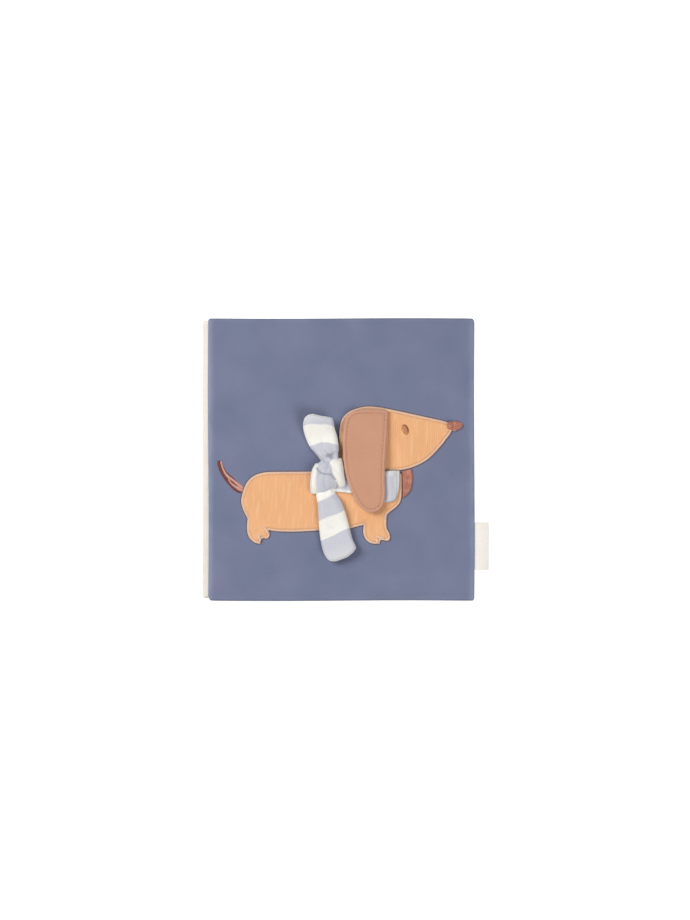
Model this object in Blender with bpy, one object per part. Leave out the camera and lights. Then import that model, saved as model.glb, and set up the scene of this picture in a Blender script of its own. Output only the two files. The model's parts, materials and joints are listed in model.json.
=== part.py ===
"""A crinkle book for a baby: four padded cloth leaves that turn about one round cloth spine.

Each leaf is two cotton panels sewn together round the edge, with a sheet of crinkle film and
a layer of wadding between them. The front cover carries a cloth dachshund, drawn in corduroy
patches inside satin-stitched borders, with a loose ear and a tied scarf whose ends lift.

Metres, +Z up. The book lies shut on its back cover, its spine towards -X and the top of its
cover towards +Y. The origin is at the middle of the underside.
"""

from math import cos, pi, radians, sin, sqrt

import bmesh
import bpy
from mathutils import Matrix, Vector

# Clearances
GAP = 0.0003                    # between pieces that touch on the real book
LEAF_GAP = 0.0004               # between one shut leaf and the next
PAGE_SETBACK = 0.0016           # how far a page stays inside the covers' edges

# Leaves
COVER_WIDTH = 0.1706
COVER_HEIGHT = 0.1809
CORNER_RADIUS = 0.0015
LEAF_THICKNESS = 0.0042
LEAF_EDGE_WIDTH = 0.0035        # how far in from the seam a leaf's face is rounded
PANEL_THICKNESS = 0.0005
SEAM_WAVE = 0.0002              # how far the sewn sides stray from a straight line
FILM_THICKNESS = 0.0002
FILLING_SETBACK = 0.0010        # from the inner end of the rounded edge to the filling

# Spine
SPINE_RADIUS = 0.0035
SPINE_WALL = 0.0005
SPINE_SETBACK = 0.0013          # how much shorter than the cover the spine is at each end
SPINE_LIP = 0.0004
SPINE_CLEAR = 0.0007            # from the spine's axis to the covers' sewn edge
MARGIN_THICKNESS = 0.0006       # a page's hinge margin
COVER_MARGIN_START = 50         # degrees round the spine, measured from the pages' side
COVER_MARGIN_END = 86
PAGE_MARGIN_START = 6
PAGE_MARGIN_END = 23

# The dog's patches
CHEST_LINE = 0.0387             # X of the chest
NECK_LINE = -0.0077             # Y of the straight back
BODY_LENGTH = 0.1028
BODY_HEIGHT = 0.0463
HEAD_LENGTH = 0.0728
HEAD_HEIGHT = 0.0410
HEAD_BACK = -0.0016             # X of the back of the head
PATCH_THICKNESS = 0.0009
PATCH_ROUNDING = 0.0003
BORDER_WIDTH = 0.0012
BORDER_THICKNESS = 0.0013

# The dog's embroidery
EMBROIDERY_THICKNESS = 0.0010
EMBROIDERY_ROUNDING = 0.0006
NOSE_LENGTH = 0.0093
NOSE_HEIGHT = 0.0066
NOSE_BACK = 0.0024              # how far the nose reaches back over the tip of the muzzle
NOSE_ABOVE_TIP = 0.0028         # from the tip of the muzzle up to the middle of the nose
EYE_WIDTH = 0.0041
EYE_HEIGHT = 0.0069
EYE_THICKNESS = 0.0006
EYE_FROM_EAR = 0.0110           # from the ear's front edge to the middle of the eye
EYE_BELOW_CROWN = 0.0141
FAR_EAR_WIDTH = 0.0066
FAR_EAR_LENGTH = 0.0169         # below the back's line; the far ear goes on up to the jaw
TAIL_LENGTH = 0.0196
TAIL_REACH = 0.0148             # how far the tail's tip stands out from the rump
TAIL_WIDTH = 0.0050

# The ear
EAR_WIDTH = 0.0289
EAR_LENGTH = 0.0652
EAR_BACK = 0.0010               # X of the ear's back edge
EAR_BELOW_CROWN = 0.0019
EAR_THICKNESS = 0.0006
EAR_LINING_THICKNESS = 0.0004
EAR_LINING_SETBACK = 0.0005
EAR_ARCH = 0.0012

# The scarf
TIE_SLOPE = 16                  # degrees that the knot leans to the left
TIE_FROM_EAR = 0.0104           # from the ear's back edge to the middle of the knot
TIE_BELOW_NECK = 0.0031
KNOT_LENGTH = 0.0174
KNOT_WIDTH = 0.0264
KNOT_THICKNESS = 0.0070
KNOT_STEP = 0.0002              # between the undersides of the knot's folds
BAND_LENGTH = 0.0365
BAND_WIDTH = 0.0199
BAND_THICKNESS = 0.0010
BAND_BELOW_JAW = 0.0004
TAIL_ROOT_RADIUS = 0.0012       # a scarf end where it leaves the knot
SCARF_FOLD = 0.0005             # depth of the pleats in a scarf end
UPPER_END_LENGTH = 0.0304
UPPER_END_WIDTH = 0.0195
UPPER_END_THICKNESS = 0.0032
LOWER_END_LENGTH = 0.0432
LOWER_END_WIDTH = 0.0198
LOWER_END_THICKNESS = 0.0030
BELLY_CLEAR = 0.0030            # from the dog's belly to where the lower end sinks to the cover
SCARF_DROP = 0.0060             # along a scarf end, the stretch in which it sinks to the cover

# The side label
LABEL_LENGTH = 0.0304
LABEL_REACH = 0.0083
LABEL_WALL = 0.00025
LABEL_SLOT = 0.00035
LABEL_DOWN = 0.0555             # from the middle of the cover down to the middle of the label

# Outlines, as shares of a piece's width and height from its lower left corner. A third value
# of 0 marks a corner, where the curve through the points is broken.
BODY_OUTLINE_SHARES = [
    (0.000, 0.622), (0.029, 0.826), (0.077, 0.941), (0.150, 0.992), (0.215, 1.000, 0),
    (0.975, 1.000, 0), (1.000, 0.967, 0), (1.000, 0.704), (0.992, 0.587), (0.967, 0.511),
    (0.933, 0.451), (0.910, 0.400), (0.906, 0.317), (0.908, 0.220), (0.925, 0.143),
    (0.929, 0.082), (0.912, 0.037), (0.890, 0.048), (0.869, 0.052, 0), (0.862, 0.000, 0),
    (0.824, 0.000), (0.793, 0.023), (0.767, 0.089), (0.758, 0.179), (0.762, 0.259, 0),
    (0.728, 0.241), (0.678, 0.216), (0.585, 0.198), (0.482, 0.182), (0.315, 0.165),
    (0.211, 0.173), (0.169, 0.190, 0), (0.177, 0.158), (0.177, 0.106), (0.161, 0.068),
    (0.143, 0.077), (0.126, 0.068, 0), (0.119, 0.002, 0), (0.096, 0.005), (0.069, 0.037),
    (0.047, 0.096), (0.036, 0.179), (0.036, 0.276), (0.038, 0.352, 0), (0.020, 0.428),
    (0.004, 0.524)]
BELLY_SHARE = 0.165
HEAD_OUTLINE_SHARES = [
    (0.003, 0.131), (0.000, 0.456), (0.017, 0.755), (0.077, 0.905), (0.206, 0.994),
    (0.318, 1.000), (0.464, 0.956), (0.733, 0.853), (0.952, 0.760), (0.990, 0.700),
    (0.997, 0.640), (0.980, 0.575), (0.945, 0.491), (0.901, 0.387), (0.777, 0.167),
    (0.643, 0.047), (0.540, 0.006), (0.470, 0.000, 0), (0.045, 0.000, 0)]
MUZZLE_SHARE = 0.640
FOLD_SHARE = 0.8                # an inset point nearer to the outline than this has folded back
EAR_OUTLINE_SHARES = [
    (1.000, 0.995, 0), (0.982, 0.809), (0.956, 0.642), (0.931, 0.485), (0.927, 0.318),
    (0.931, 0.181), (0.889, 0.078), (0.790, 0.021), (0.635, 0.000), (0.457, 0.024),
    (0.331, 0.087), (0.221, 0.176), (0.132, 0.269), (0.057, 0.382), (0.015, 0.514),
    (0.000, 0.652), (0.008, 0.779), (0.039, 0.877), (0.103, 0.946), (0.214, 0.989),
    (0.402, 1.006), (0.646, 1.009), (0.845, 1.004)]
FAR_EAR_OUTLINE_SHARES = [
    (0.000, 1.015, 0), (0.923, 1.102, 0), (1.000, 0.833), (0.971, 0.568), (0.827, 0.341),
    (0.510, 0.133), (0.058, 0.000, 0)]
NOSE_OUTLINE_SHARES = [
    (0.000, 0.942, 0), (0.425, 1.000), (0.801, 0.913), (1.000, 0.635), (0.904, 0.365),
    (0.664, 0.096), (0.301, 0.000, 0), (0.315, 0.202), (0.250, 0.596)]
BAND_OUTLINE_SHARES = [
    (0.063, 1.000, 0), (1.000, 1.000, 0), (0.990, 0.466), (0.925, 0.080), (0.735, 0.000),
    (0.403, 0.145), (0.160, 0.290), (0.000, 0.370, 0), (0.051, 0.595)]

# The tail, from the rump to its tip: shares of its reach, its length and its greatest width
TAIL_SHARES = [
    (0.00, 0.06, 0.94), (0.07, 0.10, 0.98), (0.26, 0.22, 1.00), (0.46, 0.33, 0.94),
    (0.65, 0.46, 0.80), (0.83, 0.64, 0.58), (0.93, 0.82, 0.46), (1.00, 1.00, 0.34)]

# The knot's three rolls: across, along, half width and rise, as shares of the knot's size
KNOT_WRAP_SHARES = [
    (0.04, 0.50, 0.13, 0.36), (0.04, 0.42, 0.18, 0.56), (0.01, 0.16, 0.23, 0.84),
    (-0.04, -0.12, 0.26, 0.90), (-0.09, -0.40, 0.24, 0.58), (-0.09, -0.50, 0.18, 0.36)]
KNOT_LOOP_SHARES = [
    (0.305, 0.50, 0.12, 0.38), (0.302, 0.38, 0.165, 0.70), (0.297, 0.12, 0.145, 1.00),
    (0.300, -0.15, 0.115, 0.86), (0.296, -0.38, 0.095, 0.54), (0.282, -0.50, 0.06, 0.30)]
KNOT_TUCK_SHARES = [
    (-0.111, 0.46, 0.06, 0.30), (-0.221, 0.28, 0.08, 0.50), (-0.306, 0.03, 0.08, 0.60),
    (-0.374, -0.24, 0.08, 0.58), (-0.415, -0.47, 0.07, 0.34)]

# A scarf end from the knot outwards: where its two sides are, as shares of its width and
# length, and how thick it is there, as a share of its thickness
UPPER_END_SHARES = [
    (0.015, 0.000, 0.528, 0.000, 0.75), (-0.065, 0.075, 0.575, 0.070, 0.75),
    (-0.153, 0.195, 0.628, 0.140, 0.92), (-0.265, 0.380, 0.678, 0.290, 1.00),
    (-0.310, 0.585, 0.696, 0.444, 1.00), (-0.299, 0.770, 0.691, 0.587, 1.00),
    (-0.237, 0.900, 0.717, 0.714, 1.00), (-0.135, 0.985, 0.724, 0.798, 0.96),
    (0.000, 1.012, 0.632, 0.844, 0.80), (0.155, 0.999, 0.420, 0.904, 0.35)]
LOWER_END_SHARES = [
    (-0.490, 0.000, 0.081, 0.000, 0.80), (-0.503, 0.061, 0.150, 0.065, 0.80),
    (-0.542, 0.210, 0.228, 0.172, 0.98), (-0.600, 0.356, 0.259, 0.315, 1.00),
    (-0.668, 0.502, 0.262, 0.462, 1.00), (-0.716, 0.649, 0.258, 0.608, 1.00),
    (-0.738, 0.785, 0.251, 0.769, 1.00), (-0.722, 0.884, 0.279, 0.865, 1.00),
    (-0.672, 0.954, 0.285, 0.920, 0.95), (-0.587, 1.002, 0.162, 0.965, 0.80),
    (-0.418, 1.027, -0.091, 1.015, 0.35)]
PLEAT_SHARES = [(0.00, 0.30), (0.07, 0.74), (0.18, 0.96), (0.31, 1.00), (0.42, 0.90), (0.50, 0.72),
                (0.58, 0.88), (0.71, 1.00), (0.84, 0.94), (0.94, 0.70), (1.00, 0.30)]

# How finely rings are drawn
CORNER_STEPS = 3
SIDE_STEPS = 6
SPINE_STEPS = 20
ROLL_STEPS = 8

# Colours as they look, from 0 to 1
BLUE = (0.46, 0.49, 0.60)
CREAM = (0.95, 0.91, 0.86)
CORDUROY = (0.95, 0.71, 0.50)
SATIN_STITCH = (0.99, 0.87, 0.75)
DUSTY_BROWN = (0.80, 0.59, 0.49)
RUST = (0.59, 0.33, 0.27)
EYE_BROWN = (0.55, 0.31, 0.20)
SCARF = (0.88, 0.88, 0.90)
LABEL = (0.98, 0.95, 0.92)
WADDING = (0.93, 0.93, 0.92)
FILM = (0.80, 0.82, 0.84)

# Heights and places that follow from the sizes above
STACK = 4 * LEAF_THICKNESS + 3 * LEAF_GAP
HALF_LEAF = LEAF_THICKNESS / 2
PATCH_BASE = STACK + GAP
PATCH_TOP = PATCH_BASE + PATCH_THICKNESS
BORDER_TOP = PATCH_BASE + BORDER_THICKNESS
RAISED_BASE = max(PATCH_TOP, BORDER_TOP) + GAP
BAND_TOP = RAISED_BASE + BAND_THICKNESS
MARGIN_INNER = SPINE_RADIUS + GAP
PAGE_CLEAR = MARGIN_INNER + MARGIN_THICKNESS + GAP


def edge_points(steps):
    """The rounded edge of a leaf from bottom to top, as (inset, height above its middle)."""
    angles = [pi * (step / steps - 0.5) for step in range(steps + 1)]
    return [(LEAF_EDGE_WIDTH * (1 - cos(angle)), HALF_LEAF * sin(angle)) for angle in angles]


def edge_start(middle, clear):
    """How far from the spine's axis a leaf's seam has to be, so that the leaf stays clear of it."""
    start = 0.0
    for inset, height in edge_points(40):
        across = clear ** 2 - (middle + height) ** 2
        if across > 0:
            start = max(start, sqrt(across) - inset)
    return start


def edge_reach(start, middle):
    """The least distance from the spine's axis to a leaf whose seam is `start` away."""
    return min(Vector((start + inset, middle + height)).length for inset, height in edge_points(40))


COVER_MIDDLE = STACK / 2 - HALF_LEAF
PAGE_MIDDLE = LEAF_GAP / 2 + HALF_LEAF
COVER_START = max(SPINE_CLEAR, edge_start(COVER_MIDDLE, PAGE_CLEAR))
PAGE_START = edge_start(PAGE_MIDDLE, PAGE_CLEAR)
COVER_MARGIN_OUTER = edge_reach(COVER_START, COVER_MIDDLE) - GAP
HINGE = Vector((-COVER_WIDTH / 2 - COVER_START, 0, STACK / 2))
SPINE_LENGTH = COVER_HEIGHT - 2 * SPINE_SETBACK


def linear(colour):
    """A colour as it looks, turned into the linear values that a shader takes."""
    return [((part + 0.055) / 1.055) ** 2.4 if part > 0.04 else part / 12.92 for part in colour] + [1]


def material(name, colour, roughness):
    """A plain cloth or film material."""
    made = bpy.data.materials.new(name)
    made.use_nodes = True
    shader = made.node_tree.nodes["Principled BSDF"]
    shader.inputs["Base Color"].default_value = linear(colour)
    shader.inputs["Roughness"].default_value = roughness
    shader.inputs["Metallic"].default_value = 0
    return made


def empty(name, parent, place, turn=0):
    """A frame that pieces hang from, such as a hinge's axis."""
    made = bpy.data.objects.new(name, None)
    bpy.context.collection.objects.link(made)
    made.parent = parent
    made.location = place
    made.rotation_euler = (0, 0, turn)
    return made


def add(name, mesh, colour, parent=None, place=(0, 0, 0), roughness=0.9):
    """Turn a finished bmesh into a named piece under its parent."""
    bmesh.ops.recalc_face_normals(mesh, faces=mesh.faces)
    data = bpy.data.meshes.new(name)
    mesh.to_mesh(data)
    mesh.free()
    data.shade_smooth()
    data.set_sharp_from_angle(angle=radians(50))
    data.materials.append(material(name, colour, roughness))
    made = bpy.data.objects.new(name, data)
    bpy.context.collection.objects.link(made)
    made.parent = parent
    made.location = place
    return made


def skin(rings, closed=False):
    """A mesh through rings of equal length, capped at both ends or closed into a loop."""
    mesh = bmesh.new()
    loops = [[mesh.verts.new(point) for point in ring] for ring in rings]
    pairs = list(zip(loops, loops[1:]))
    if closed:
        pairs.append((loops[-1], loops[0]))
    for one, other in pairs:
        for index, corner in enumerate(one):
            after = (index + 1) % len(one)
            mesh.faces.new((corner, one[after], other[after], other[index]))
    if not closed:
        mesh.faces.new(loops[0][::-1])
        mesh.faces.new(loops[-1])
    return mesh


# Rings in plan

def smooth_outline(shares, corner, size, steps):
    """A closed curve through an outline's points, broken at its corners."""
    points = [Vector((corner[0] + row[0] * size[0], corner[1] + row[1] * size[1])) for row in shares]
    count = len(points)
    lengths = [(points[(index + 1) % count] - points[index]).length for index in range(count)]
    slopes = []
    for index in range(count):
        ahead, behind = points[(index + 1) % count] - points[index], points[index] - points[index - 1]
        bend = (ahead + behind) / (lengths[index - 1] + lengths[index])
        corner_here = len(shares[index]) == 3
        slopes.append((ahead.normalized(), behind.normalized()) if corner_here else (bend, bend))
    curve = []
    for index in range(count):
        start, end = points[index], points[(index + 1) % count]
        leave = slopes[index][0] * lengths[index]
        arrive = slopes[(index + 1) % count][1] * lengths[index]
        for step in range(steps):
            t = step / steps
            curve.append(start * (1 - 3 * t ** 2 + 2 * t ** 3) + leave * (t - 2 * t ** 2 + t ** 3)
                         + end * (3 * t ** 2 - 2 * t ** 3) + arrive * (t ** 3 - t ** 2))
    area = sum(curve[index - 1].cross(curve[index]) for index in range(len(curve)))
    return curve if area > 0 else curve[::-1]


def inset(ring, distance):
    """A ring of the same count moved inwards by a distance."""
    moved = []
    for index, point in enumerate(ring):
        into = (point - ring[index - 1]).normalized()
        out = (ring[(index + 1) % len(ring)] - point).normalized()
        inward = Vector((-into.y - out.y, into.x + out.x)).normalized()
        square = inward.dot(Vector((-into.y, into.x)))
        moved.append(point + inward * distance / max(square, 0.7))
    return moved


def distance_to(point, ring):
    """How far a point lies from a ring's sides."""
    gaps = []
    for index, end in enumerate(ring):
        start = ring[index - 1]
        side = end - start
        along = min(max((point - start).dot(side) / side.length_squared, 0), 1)
        gaps.append((point - start - side * along).length)
    return min(gaps)


def lift(ring, height):
    """A flat ring at one height."""
    return [Vector((point.x, point.y, height)) for point in ring]


def leaf_ring(left, right, top, setback, height):
    """One level of a leaf: a rounded rectangle whose sewn sides stray a little."""
    centres = [(right, top), (left, top), (left, -top), (right, -top)]
    room = setback + CORNER_RADIUS
    starts = []
    for index, (x, y) in enumerate(centres):
        centre = Vector((x - room if x == right else x + room, y - room if y > 0 else y + room))
        angles = [(index + step / CORNER_STEPS) * pi / 2 for step in range(CORNER_STEPS + 1)]
        starts.append([centre + CORNER_RADIUS * Vector((cos(angle), sin(angle))) for angle in angles])
    ring = []
    for index, corner in enumerate(starts):
        ring += corner
        outward = Vector((cos((index + 1) * pi / 2), sin((index + 1) * pi / 2)))
        start, end = corner[-1], starts[(index + 1) % 4][0]
        for step in range(1, SIDE_STEPS):
            stray = SEAM_WAVE * sin(step / SIDE_STEPS * 2 * pi)
            ring.append(start.lerp(end, step / SIDE_STEPS) + outward * stray)
    return lift(ring, height)


# Leaves

def panel(left, right, top, side):
    """One cotton panel of a leaf, a shallow dish; side is 1 for the upper and -1 for the lower."""
    seam = GAP / 2
    levels = []
    for angle in (90, 45, 0):
        setback = PANEL_THICKNESS + (LEAF_EDGE_WIDTH - PANEL_THICKNESS) * (1 - cos(radians(angle)))
        levels.append((setback, seam + (HALF_LEAF - PANEL_THICKNESS - seam) * sin(radians(angle))))
    for angle in (0, 32, 62, 90):
        setback = LEAF_EDGE_WIDTH * (1 - cos(radians(angle)))
        levels.append((setback, seam + (HALF_LEAF - seam) * sin(radians(angle))))
    return skin([leaf_ring(left, right, top, setback, side * height) for setback, height in levels])


def slab(left, right, top, bottom, thickness, rounding):
    """A flat filling with softened edges."""
    levels = [(rounding, 0), (0, thickness / 4), (0, thickness * 3 / 4), (rounding, thickness)]
    if rounding == 0:
        levels = [(0, 0), (0, thickness)]
    room = LEAF_EDGE_WIDTH + FILLING_SETBACK
    return skin([leaf_ring(left, right, top, room + setback, bottom + height)
                 for setback, height in levels])


def margin(outer, start, end):
    """A hinge margin: cloth that hugs the spine between two angles."""
    angles = [radians(start + (end - start) * step / 4) for step in range(5)]
    outline = [Vector((cos(angle), sin(angle))) * MARGIN_INNER for angle in angles]
    outline += [Vector((cos(angle), sin(angle))) * outer for angle in reversed(angles)]
    ends = (-SPINE_LENGTH / 2, SPINE_LENGTH / 2)
    return skin([[Vector((point.x, y, point.y)) for point in outline] for y in ends])


def make_leaf(name, level, left, right, top, hinge, colours):
    """Two panels with film and wadding between them, level 0 being the lowest leaf."""
    middle = level * (LEAF_THICKNESS + LEAF_GAP) + HALF_LEAF
    place = Vector((0, 0, middle))
    if hinge:
        place -= HINGE
    lower, upper = colours
    add(name + "_upper_panel", panel(left, right, top, 1), upper, hinge, place)
    add(name + "_lower_panel", panel(left, right, top, -1), lower, hinge, place)
    room = HALF_LEAF - PANEL_THICKNESS - GAP
    film_bottom = room - FILM_THICKNESS
    thickness = film_bottom - GAP + room
    add(name + "_crinkle_film", slab(left, right, top, film_bottom, FILM_THICKNESS, 0),
        FILM, hinge, place, 0.35)
    add(name + "_wadding", slab(left, right, top, -room, thickness, thickness / 4),
        WADDING, hinge, place)


def make_leaves(second, first, front):
    """The four leaves from the back cover up, each on its own hinge but the back cover."""
    side, top = COVER_WIDTH / 2, COVER_HEIGHT / 2
    page_left, page_right = HINGE.x + PAGE_START, side - PAGE_SETBACK
    page_top = top - PAGE_SETBACK
    make_leaf("back_cover", 0, -side, side, top, None, (BLUE, CREAM))
    make_leaf("second_leaf", 1, page_left, page_right, page_top, second, (CREAM, CREAM))
    make_leaf("first_leaf", 2, page_left, page_right, page_top, first, (CREAM, CREAM))
    make_leaf("front_cover", 3, -side, side, top, front, (CREAM, BLUE))
    cover_angles = (COVER_MARGIN_START, COVER_MARGIN_END)
    page_angles = (PAGE_MARGIN_START, PAGE_MARGIN_END)
    page_outer = MARGIN_INNER + MARGIN_THICKNESS
    add("back_cover_hinge_margin",
        margin(COVER_MARGIN_OUTER, -cover_angles[0], -cover_angles[1]), CREAM, None, HINGE)
    add("second_leaf_hinge_margin", margin(page_outer, -page_angles[0], -page_angles[1]),
        CREAM, second)
    add("first_leaf_hinge_margin", margin(page_outer, *page_angles), CREAM, first)
    add("front_cover_hinge_margin", margin(COVER_MARGIN_OUTER, *cover_angles), CREAM, front)


# Spine

def round_rings(profile):
    """Rings about the Y axis through a profile of (radius, place along Y)."""
    angles = [2 * pi * step / SPINE_STEPS for step in range(SPINE_STEPS)]
    return [[Vector((radius * cos(angle), y, radius * sin(angle))) for angle in angles]
            for radius, y in profile]


def make_spine():
    """A cloth tube sewn round a soft cord; the leaves' margins hug it."""
    end, bore = SPINE_LENGTH / 2, SPINE_RADIUS - SPINE_WALL
    tube = [(bore, -end), (SPINE_RADIUS - SPINE_LIP, -end), (SPINE_RADIUS, SPINE_LIP - end),
            (SPINE_RADIUS, end - SPINE_LIP), (SPINE_RADIUS - SPINE_LIP, end), (bore, end)]
    add("spine_binding", skin(round_rings(tube), closed=True), CREAM, None, HINGE)
    core, short = bore - GAP, end - SPINE_LIP
    cord = [(core - SPINE_LIP, -short), (core, SPINE_LIP - short), (core, short - SPINE_LIP),
            (core - SPINE_LIP, short)]
    add("spine_core", skin(round_rings(cord)), WADDING, None, HINGE)


# Patches and embroidery

def patch(ring, bottom, top, rounding):
    """A flat cloth piece with a softened upper edge."""
    return skin([lift(ring, bottom), lift(ring, top - rounding),
                 lift(inset(ring, rounding / 3), top - rounding / 3), lift(inset(ring, rounding), top)])


def border(ring):
    """Satin stitch that rings a patch, high in its middle."""
    section_shares = [(0.0, 0.0), (0.0, 0.60), (0.5, 1.0), (1.0, 0.60), (1.0, 0.0)]
    rings = [lift(inset(ring, across * BORDER_WIDTH), PATCH_BASE + up * BORDER_THICKNESS)
             for across, up in section_shares]
    return skin(rings, closed=True)


def roll(rows, base, place=(0, 0)):
    """A soft half-round roll along rows of (across, along, half width, rise)."""
    rings = []
    for index, (x, y, half, rise) in enumerate(rows):
        before, after = rows[max(index - 1, 0)], rows[min(index + 1, len(rows) - 1)]
        ahead = Vector((after[0] - before[0], after[1] - before[1])).normalized()
        side = Vector((ahead.y, -ahead.x))
        centre = Vector((x + place[0], y + place[1]))
        ring = []
        for step in range(ROLL_STEPS + 1):
            angle = pi * step / ROLL_STEPS
            point = centre + side * half * cos(angle)
            ring.append(Vector((point.x, point.y, base + rise * sin(angle))))
        rings.append(ring)
    return skin(rings)


def make_patches(front):
    """The corduroy body and head inside their borders."""
    body_corner = (CHEST_LINE - BODY_LENGTH, NECK_LINE - BODY_HEIGHT)
    head_corner = (HEAD_BACK, NECK_LINE + 2 * GAP)
    body = smooth_outline(BODY_OUTLINE_SHARES, body_corner, (BODY_LENGTH, BODY_HEIGHT), 2)
    head = smooth_outline(HEAD_OUTLINE_SHARES, head_corner, (HEAD_LENGTH, HEAD_HEIGHT), 3)
    for name, ring in (("dog_body", body), ("dog_head", head)):
        room = BORDER_WIDTH + GAP
        inner = [point for point in inset(ring, room) if distance_to(point, ring) > room * FOLD_SHARE]
        add(name, patch(inner, PATCH_BASE, PATCH_TOP, PATCH_ROUNDING), CORDUROY, front, -HINGE)
        add(name + "_border", border(ring), SATIN_STITCH, front, -HINGE)


def ellipse(centre, width, height, lean, count):
    """A leaning oval ring."""
    turn = Matrix.Rotation(lean, 2)
    angles = [2 * pi * step / count for step in range(count)]
    return [Vector(centre) + turn @ Vector((width / 2 * cos(angle), height / 2 * sin(angle)))
            for angle in angles]


def make_embroidery(front):
    """Nose, eye, far ear and tail, worked in thick thread."""
    top = PATCH_BASE + EMBROIDERY_THICKNESS
    nose_corner = (HEAD_BACK + HEAD_LENGTH - NOSE_BACK,
                   NECK_LINE + HEAD_HEIGHT * MUZZLE_SHARE + NOSE_ABOVE_TIP - NOSE_HEIGHT / 2)
    nose = smooth_outline(NOSE_OUTLINE_SHARES, nose_corner, (NOSE_LENGTH, NOSE_HEIGHT), 3)
    add("nose", patch(nose, PATCH_BASE, top, EMBROIDERY_ROUNDING), RUST, front, -HINGE)
    eye_centre = (EAR_BACK + EAR_WIDTH + EYE_FROM_EAR, NECK_LINE + HEAD_HEIGHT - EYE_BELOW_CROWN)
    eye = ellipse(eye_centre, EYE_WIDTH, EYE_HEIGHT, radians(18), 16)
    eye_base = PATCH_TOP + GAP
    add("eye", patch(eye, eye_base, eye_base + EYE_THICKNESS, EYE_THICKNESS * 0.6),
        EYE_BROWN, front, -HINGE)
    far_corner = (CHEST_LINE + GAP, NECK_LINE - FAR_EAR_LENGTH)
    far_ear = smooth_outline(FAR_EAR_OUTLINE_SHARES, far_corner, (FAR_EAR_WIDTH, FAR_EAR_LENGTH), 3)
    add("far_ear", patch(far_ear, PATCH_BASE, top, EMBROIDERY_ROUNDING), RUST, front, -HINGE)
    rows = [(-TAIL_REACH * out, TAIL_LENGTH * up, TAIL_WIDTH / 2 * wide, EMBROIDERY_THICKNESS * wide)
            for out, up, wide in TAIL_SHARES]
    rump = (CHEST_LINE - BODY_LENGTH, NECK_LINE - BODY_HEIGHT * 0.27)
    add("tail", roll(rows, PATCH_BASE, rump), RUST, front, -HINGE)


# Ear

def ear_underside(top, ramp):
    """The height of the ear's underside: up from its root over the scarf, and arched across."""
    middle = EAR_BACK + EAR_WIDTH / 2

    def height(point):
        risen = min(max((top - point.y) / ramp, 0), 1)
        risen = risen * risen * (3 - 2 * risen)
        across = min(abs(point.x - middle) / (EAR_WIDTH / 2), 1)
        return RAISED_BASE + risen * (BAND_TOP + GAP - RAISED_BASE + EAR_ARCH * (1 - across ** 2))
    return height


def flap(ring, underside, above, thickness):
    """A soft sheet over an outline, rounded at its edge, whose underside follows a height."""
    low, high = ring[0].copy(), ring[0].copy()
    for point in ring:
        low = Vector((min(low.x, point.x), min(low.y, point.y)))
        high = Vector((max(high.x, point.x), max(high.y, point.y)))
    centre = (low + high) / 2
    level_shares = [(0.25, 0.0), (0.62, 0.0), (0.95, 0.0), (1.0, 0.3), (1.0, 0.7), (0.95, 1.0),
                    (0.62, 1.0), (0.25, 1.0)]
    rings = []
    for scale, up in level_shares:
        flat = [centre + (point - centre) * scale for point in ring]
        rings.append([Vector((point.x, point.y, underside(point) + above + thickness * up))
                      for point in flat])
    return skin(rings)


def make_ear(hinge, axis):
    """The loose near ear, a dusty brown flap on its lining, sewn down along its top edge."""
    corner = (EAR_BACK, axis.y - EAR_LENGTH)
    ring = smooth_outline(EAR_OUTLINE_SHARES, corner, (EAR_WIDTH, EAR_LENGTH), 3)
    height = ear_underside(axis.y, (axis.y - NECK_LINE) * 0.8)
    lining = flap(inset(ring, EAR_LINING_SETBACK), height, 0, EAR_LINING_THICKNESS)
    face = flap(ring, height, EAR_LINING_THICKNESS + GAP, EAR_THICKNESS)
    add("ear_lining", lining, CREAM, hinge, -axis)
    add("ear_flap", face, DUSTY_BROWN, hinge, -axis)


# Scarf

def knot_rows(shares):
    """A roll's rows in real sizes."""
    return [(across * KNOT_WIDTH, along * KNOT_LENGTH, half * KNOT_WIDTH, rise * KNOT_THICKNESS)
            for across, along, half, rise in shares]


def make_knot(tie):
    """The tied knot: a wrap with a loop on one side and a tucked fold on the other."""
    knot = add("scarf_knot", roll(knot_rows(KNOT_WRAP_SHARES), 0), SCARF, tie)
    for name, shares, step in (("knot_loop", KNOT_LOOP_SHARES, 1), ("knot_tuck", KNOT_TUCK_SHARES, 2)):
        guide = add(name, roll(knot_rows(shares), step * KNOT_STEP), SCARF, tie)
        guide.hide_render = True
        guide.display_type = "WIRE"
        union = knot.modifiers.new(name, "BOOLEAN")
        union.operation = "UNION"
        union.object = guide


def end_section(left, right, bottom, top):
    """A scarf end cut across: level below and pleated on top."""
    under = [left.lerp(right, across) for across in (0.8, 0.5, 0.2)]
    section = [Vector((*point, bottom(point))) for point in under]
    for across, up in PLEAT_SHARES:
        point = left.lerp(right, across)
        height = bottom(point)
        section.append(Vector((*point, height + (top - SCARF_FOLD * (1 - up) * 2) * up)))
    return section


def scarf_end(shares, length, width, thickness, bottom):
    """A loose end from the round root on its axis outwards, along +Y of its own frame."""
    rings = []
    root = [Vector((shares[0][0] * width, 0)), Vector((shares[0][2] * width, 0))]
    for angle in (radians(65), radians(35)):
        back = Vector((0, -TAIL_ROOT_RADIUS * sin(angle)))
        half = TAIL_ROOT_RADIUS * cos(angle)
        rings.append(end_section(root[0] + back, root[1] + back, lambda point: -half, 2 * half))
    for left_x, left_y, right_x, right_y, thick in shares:
        left = Vector((left_x * width, left_y * length))
        right = Vector((right_x * width, right_y * length))
        rings.append(end_section(left, right, bottom, thick * thickness))
    return skin(rings)


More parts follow.
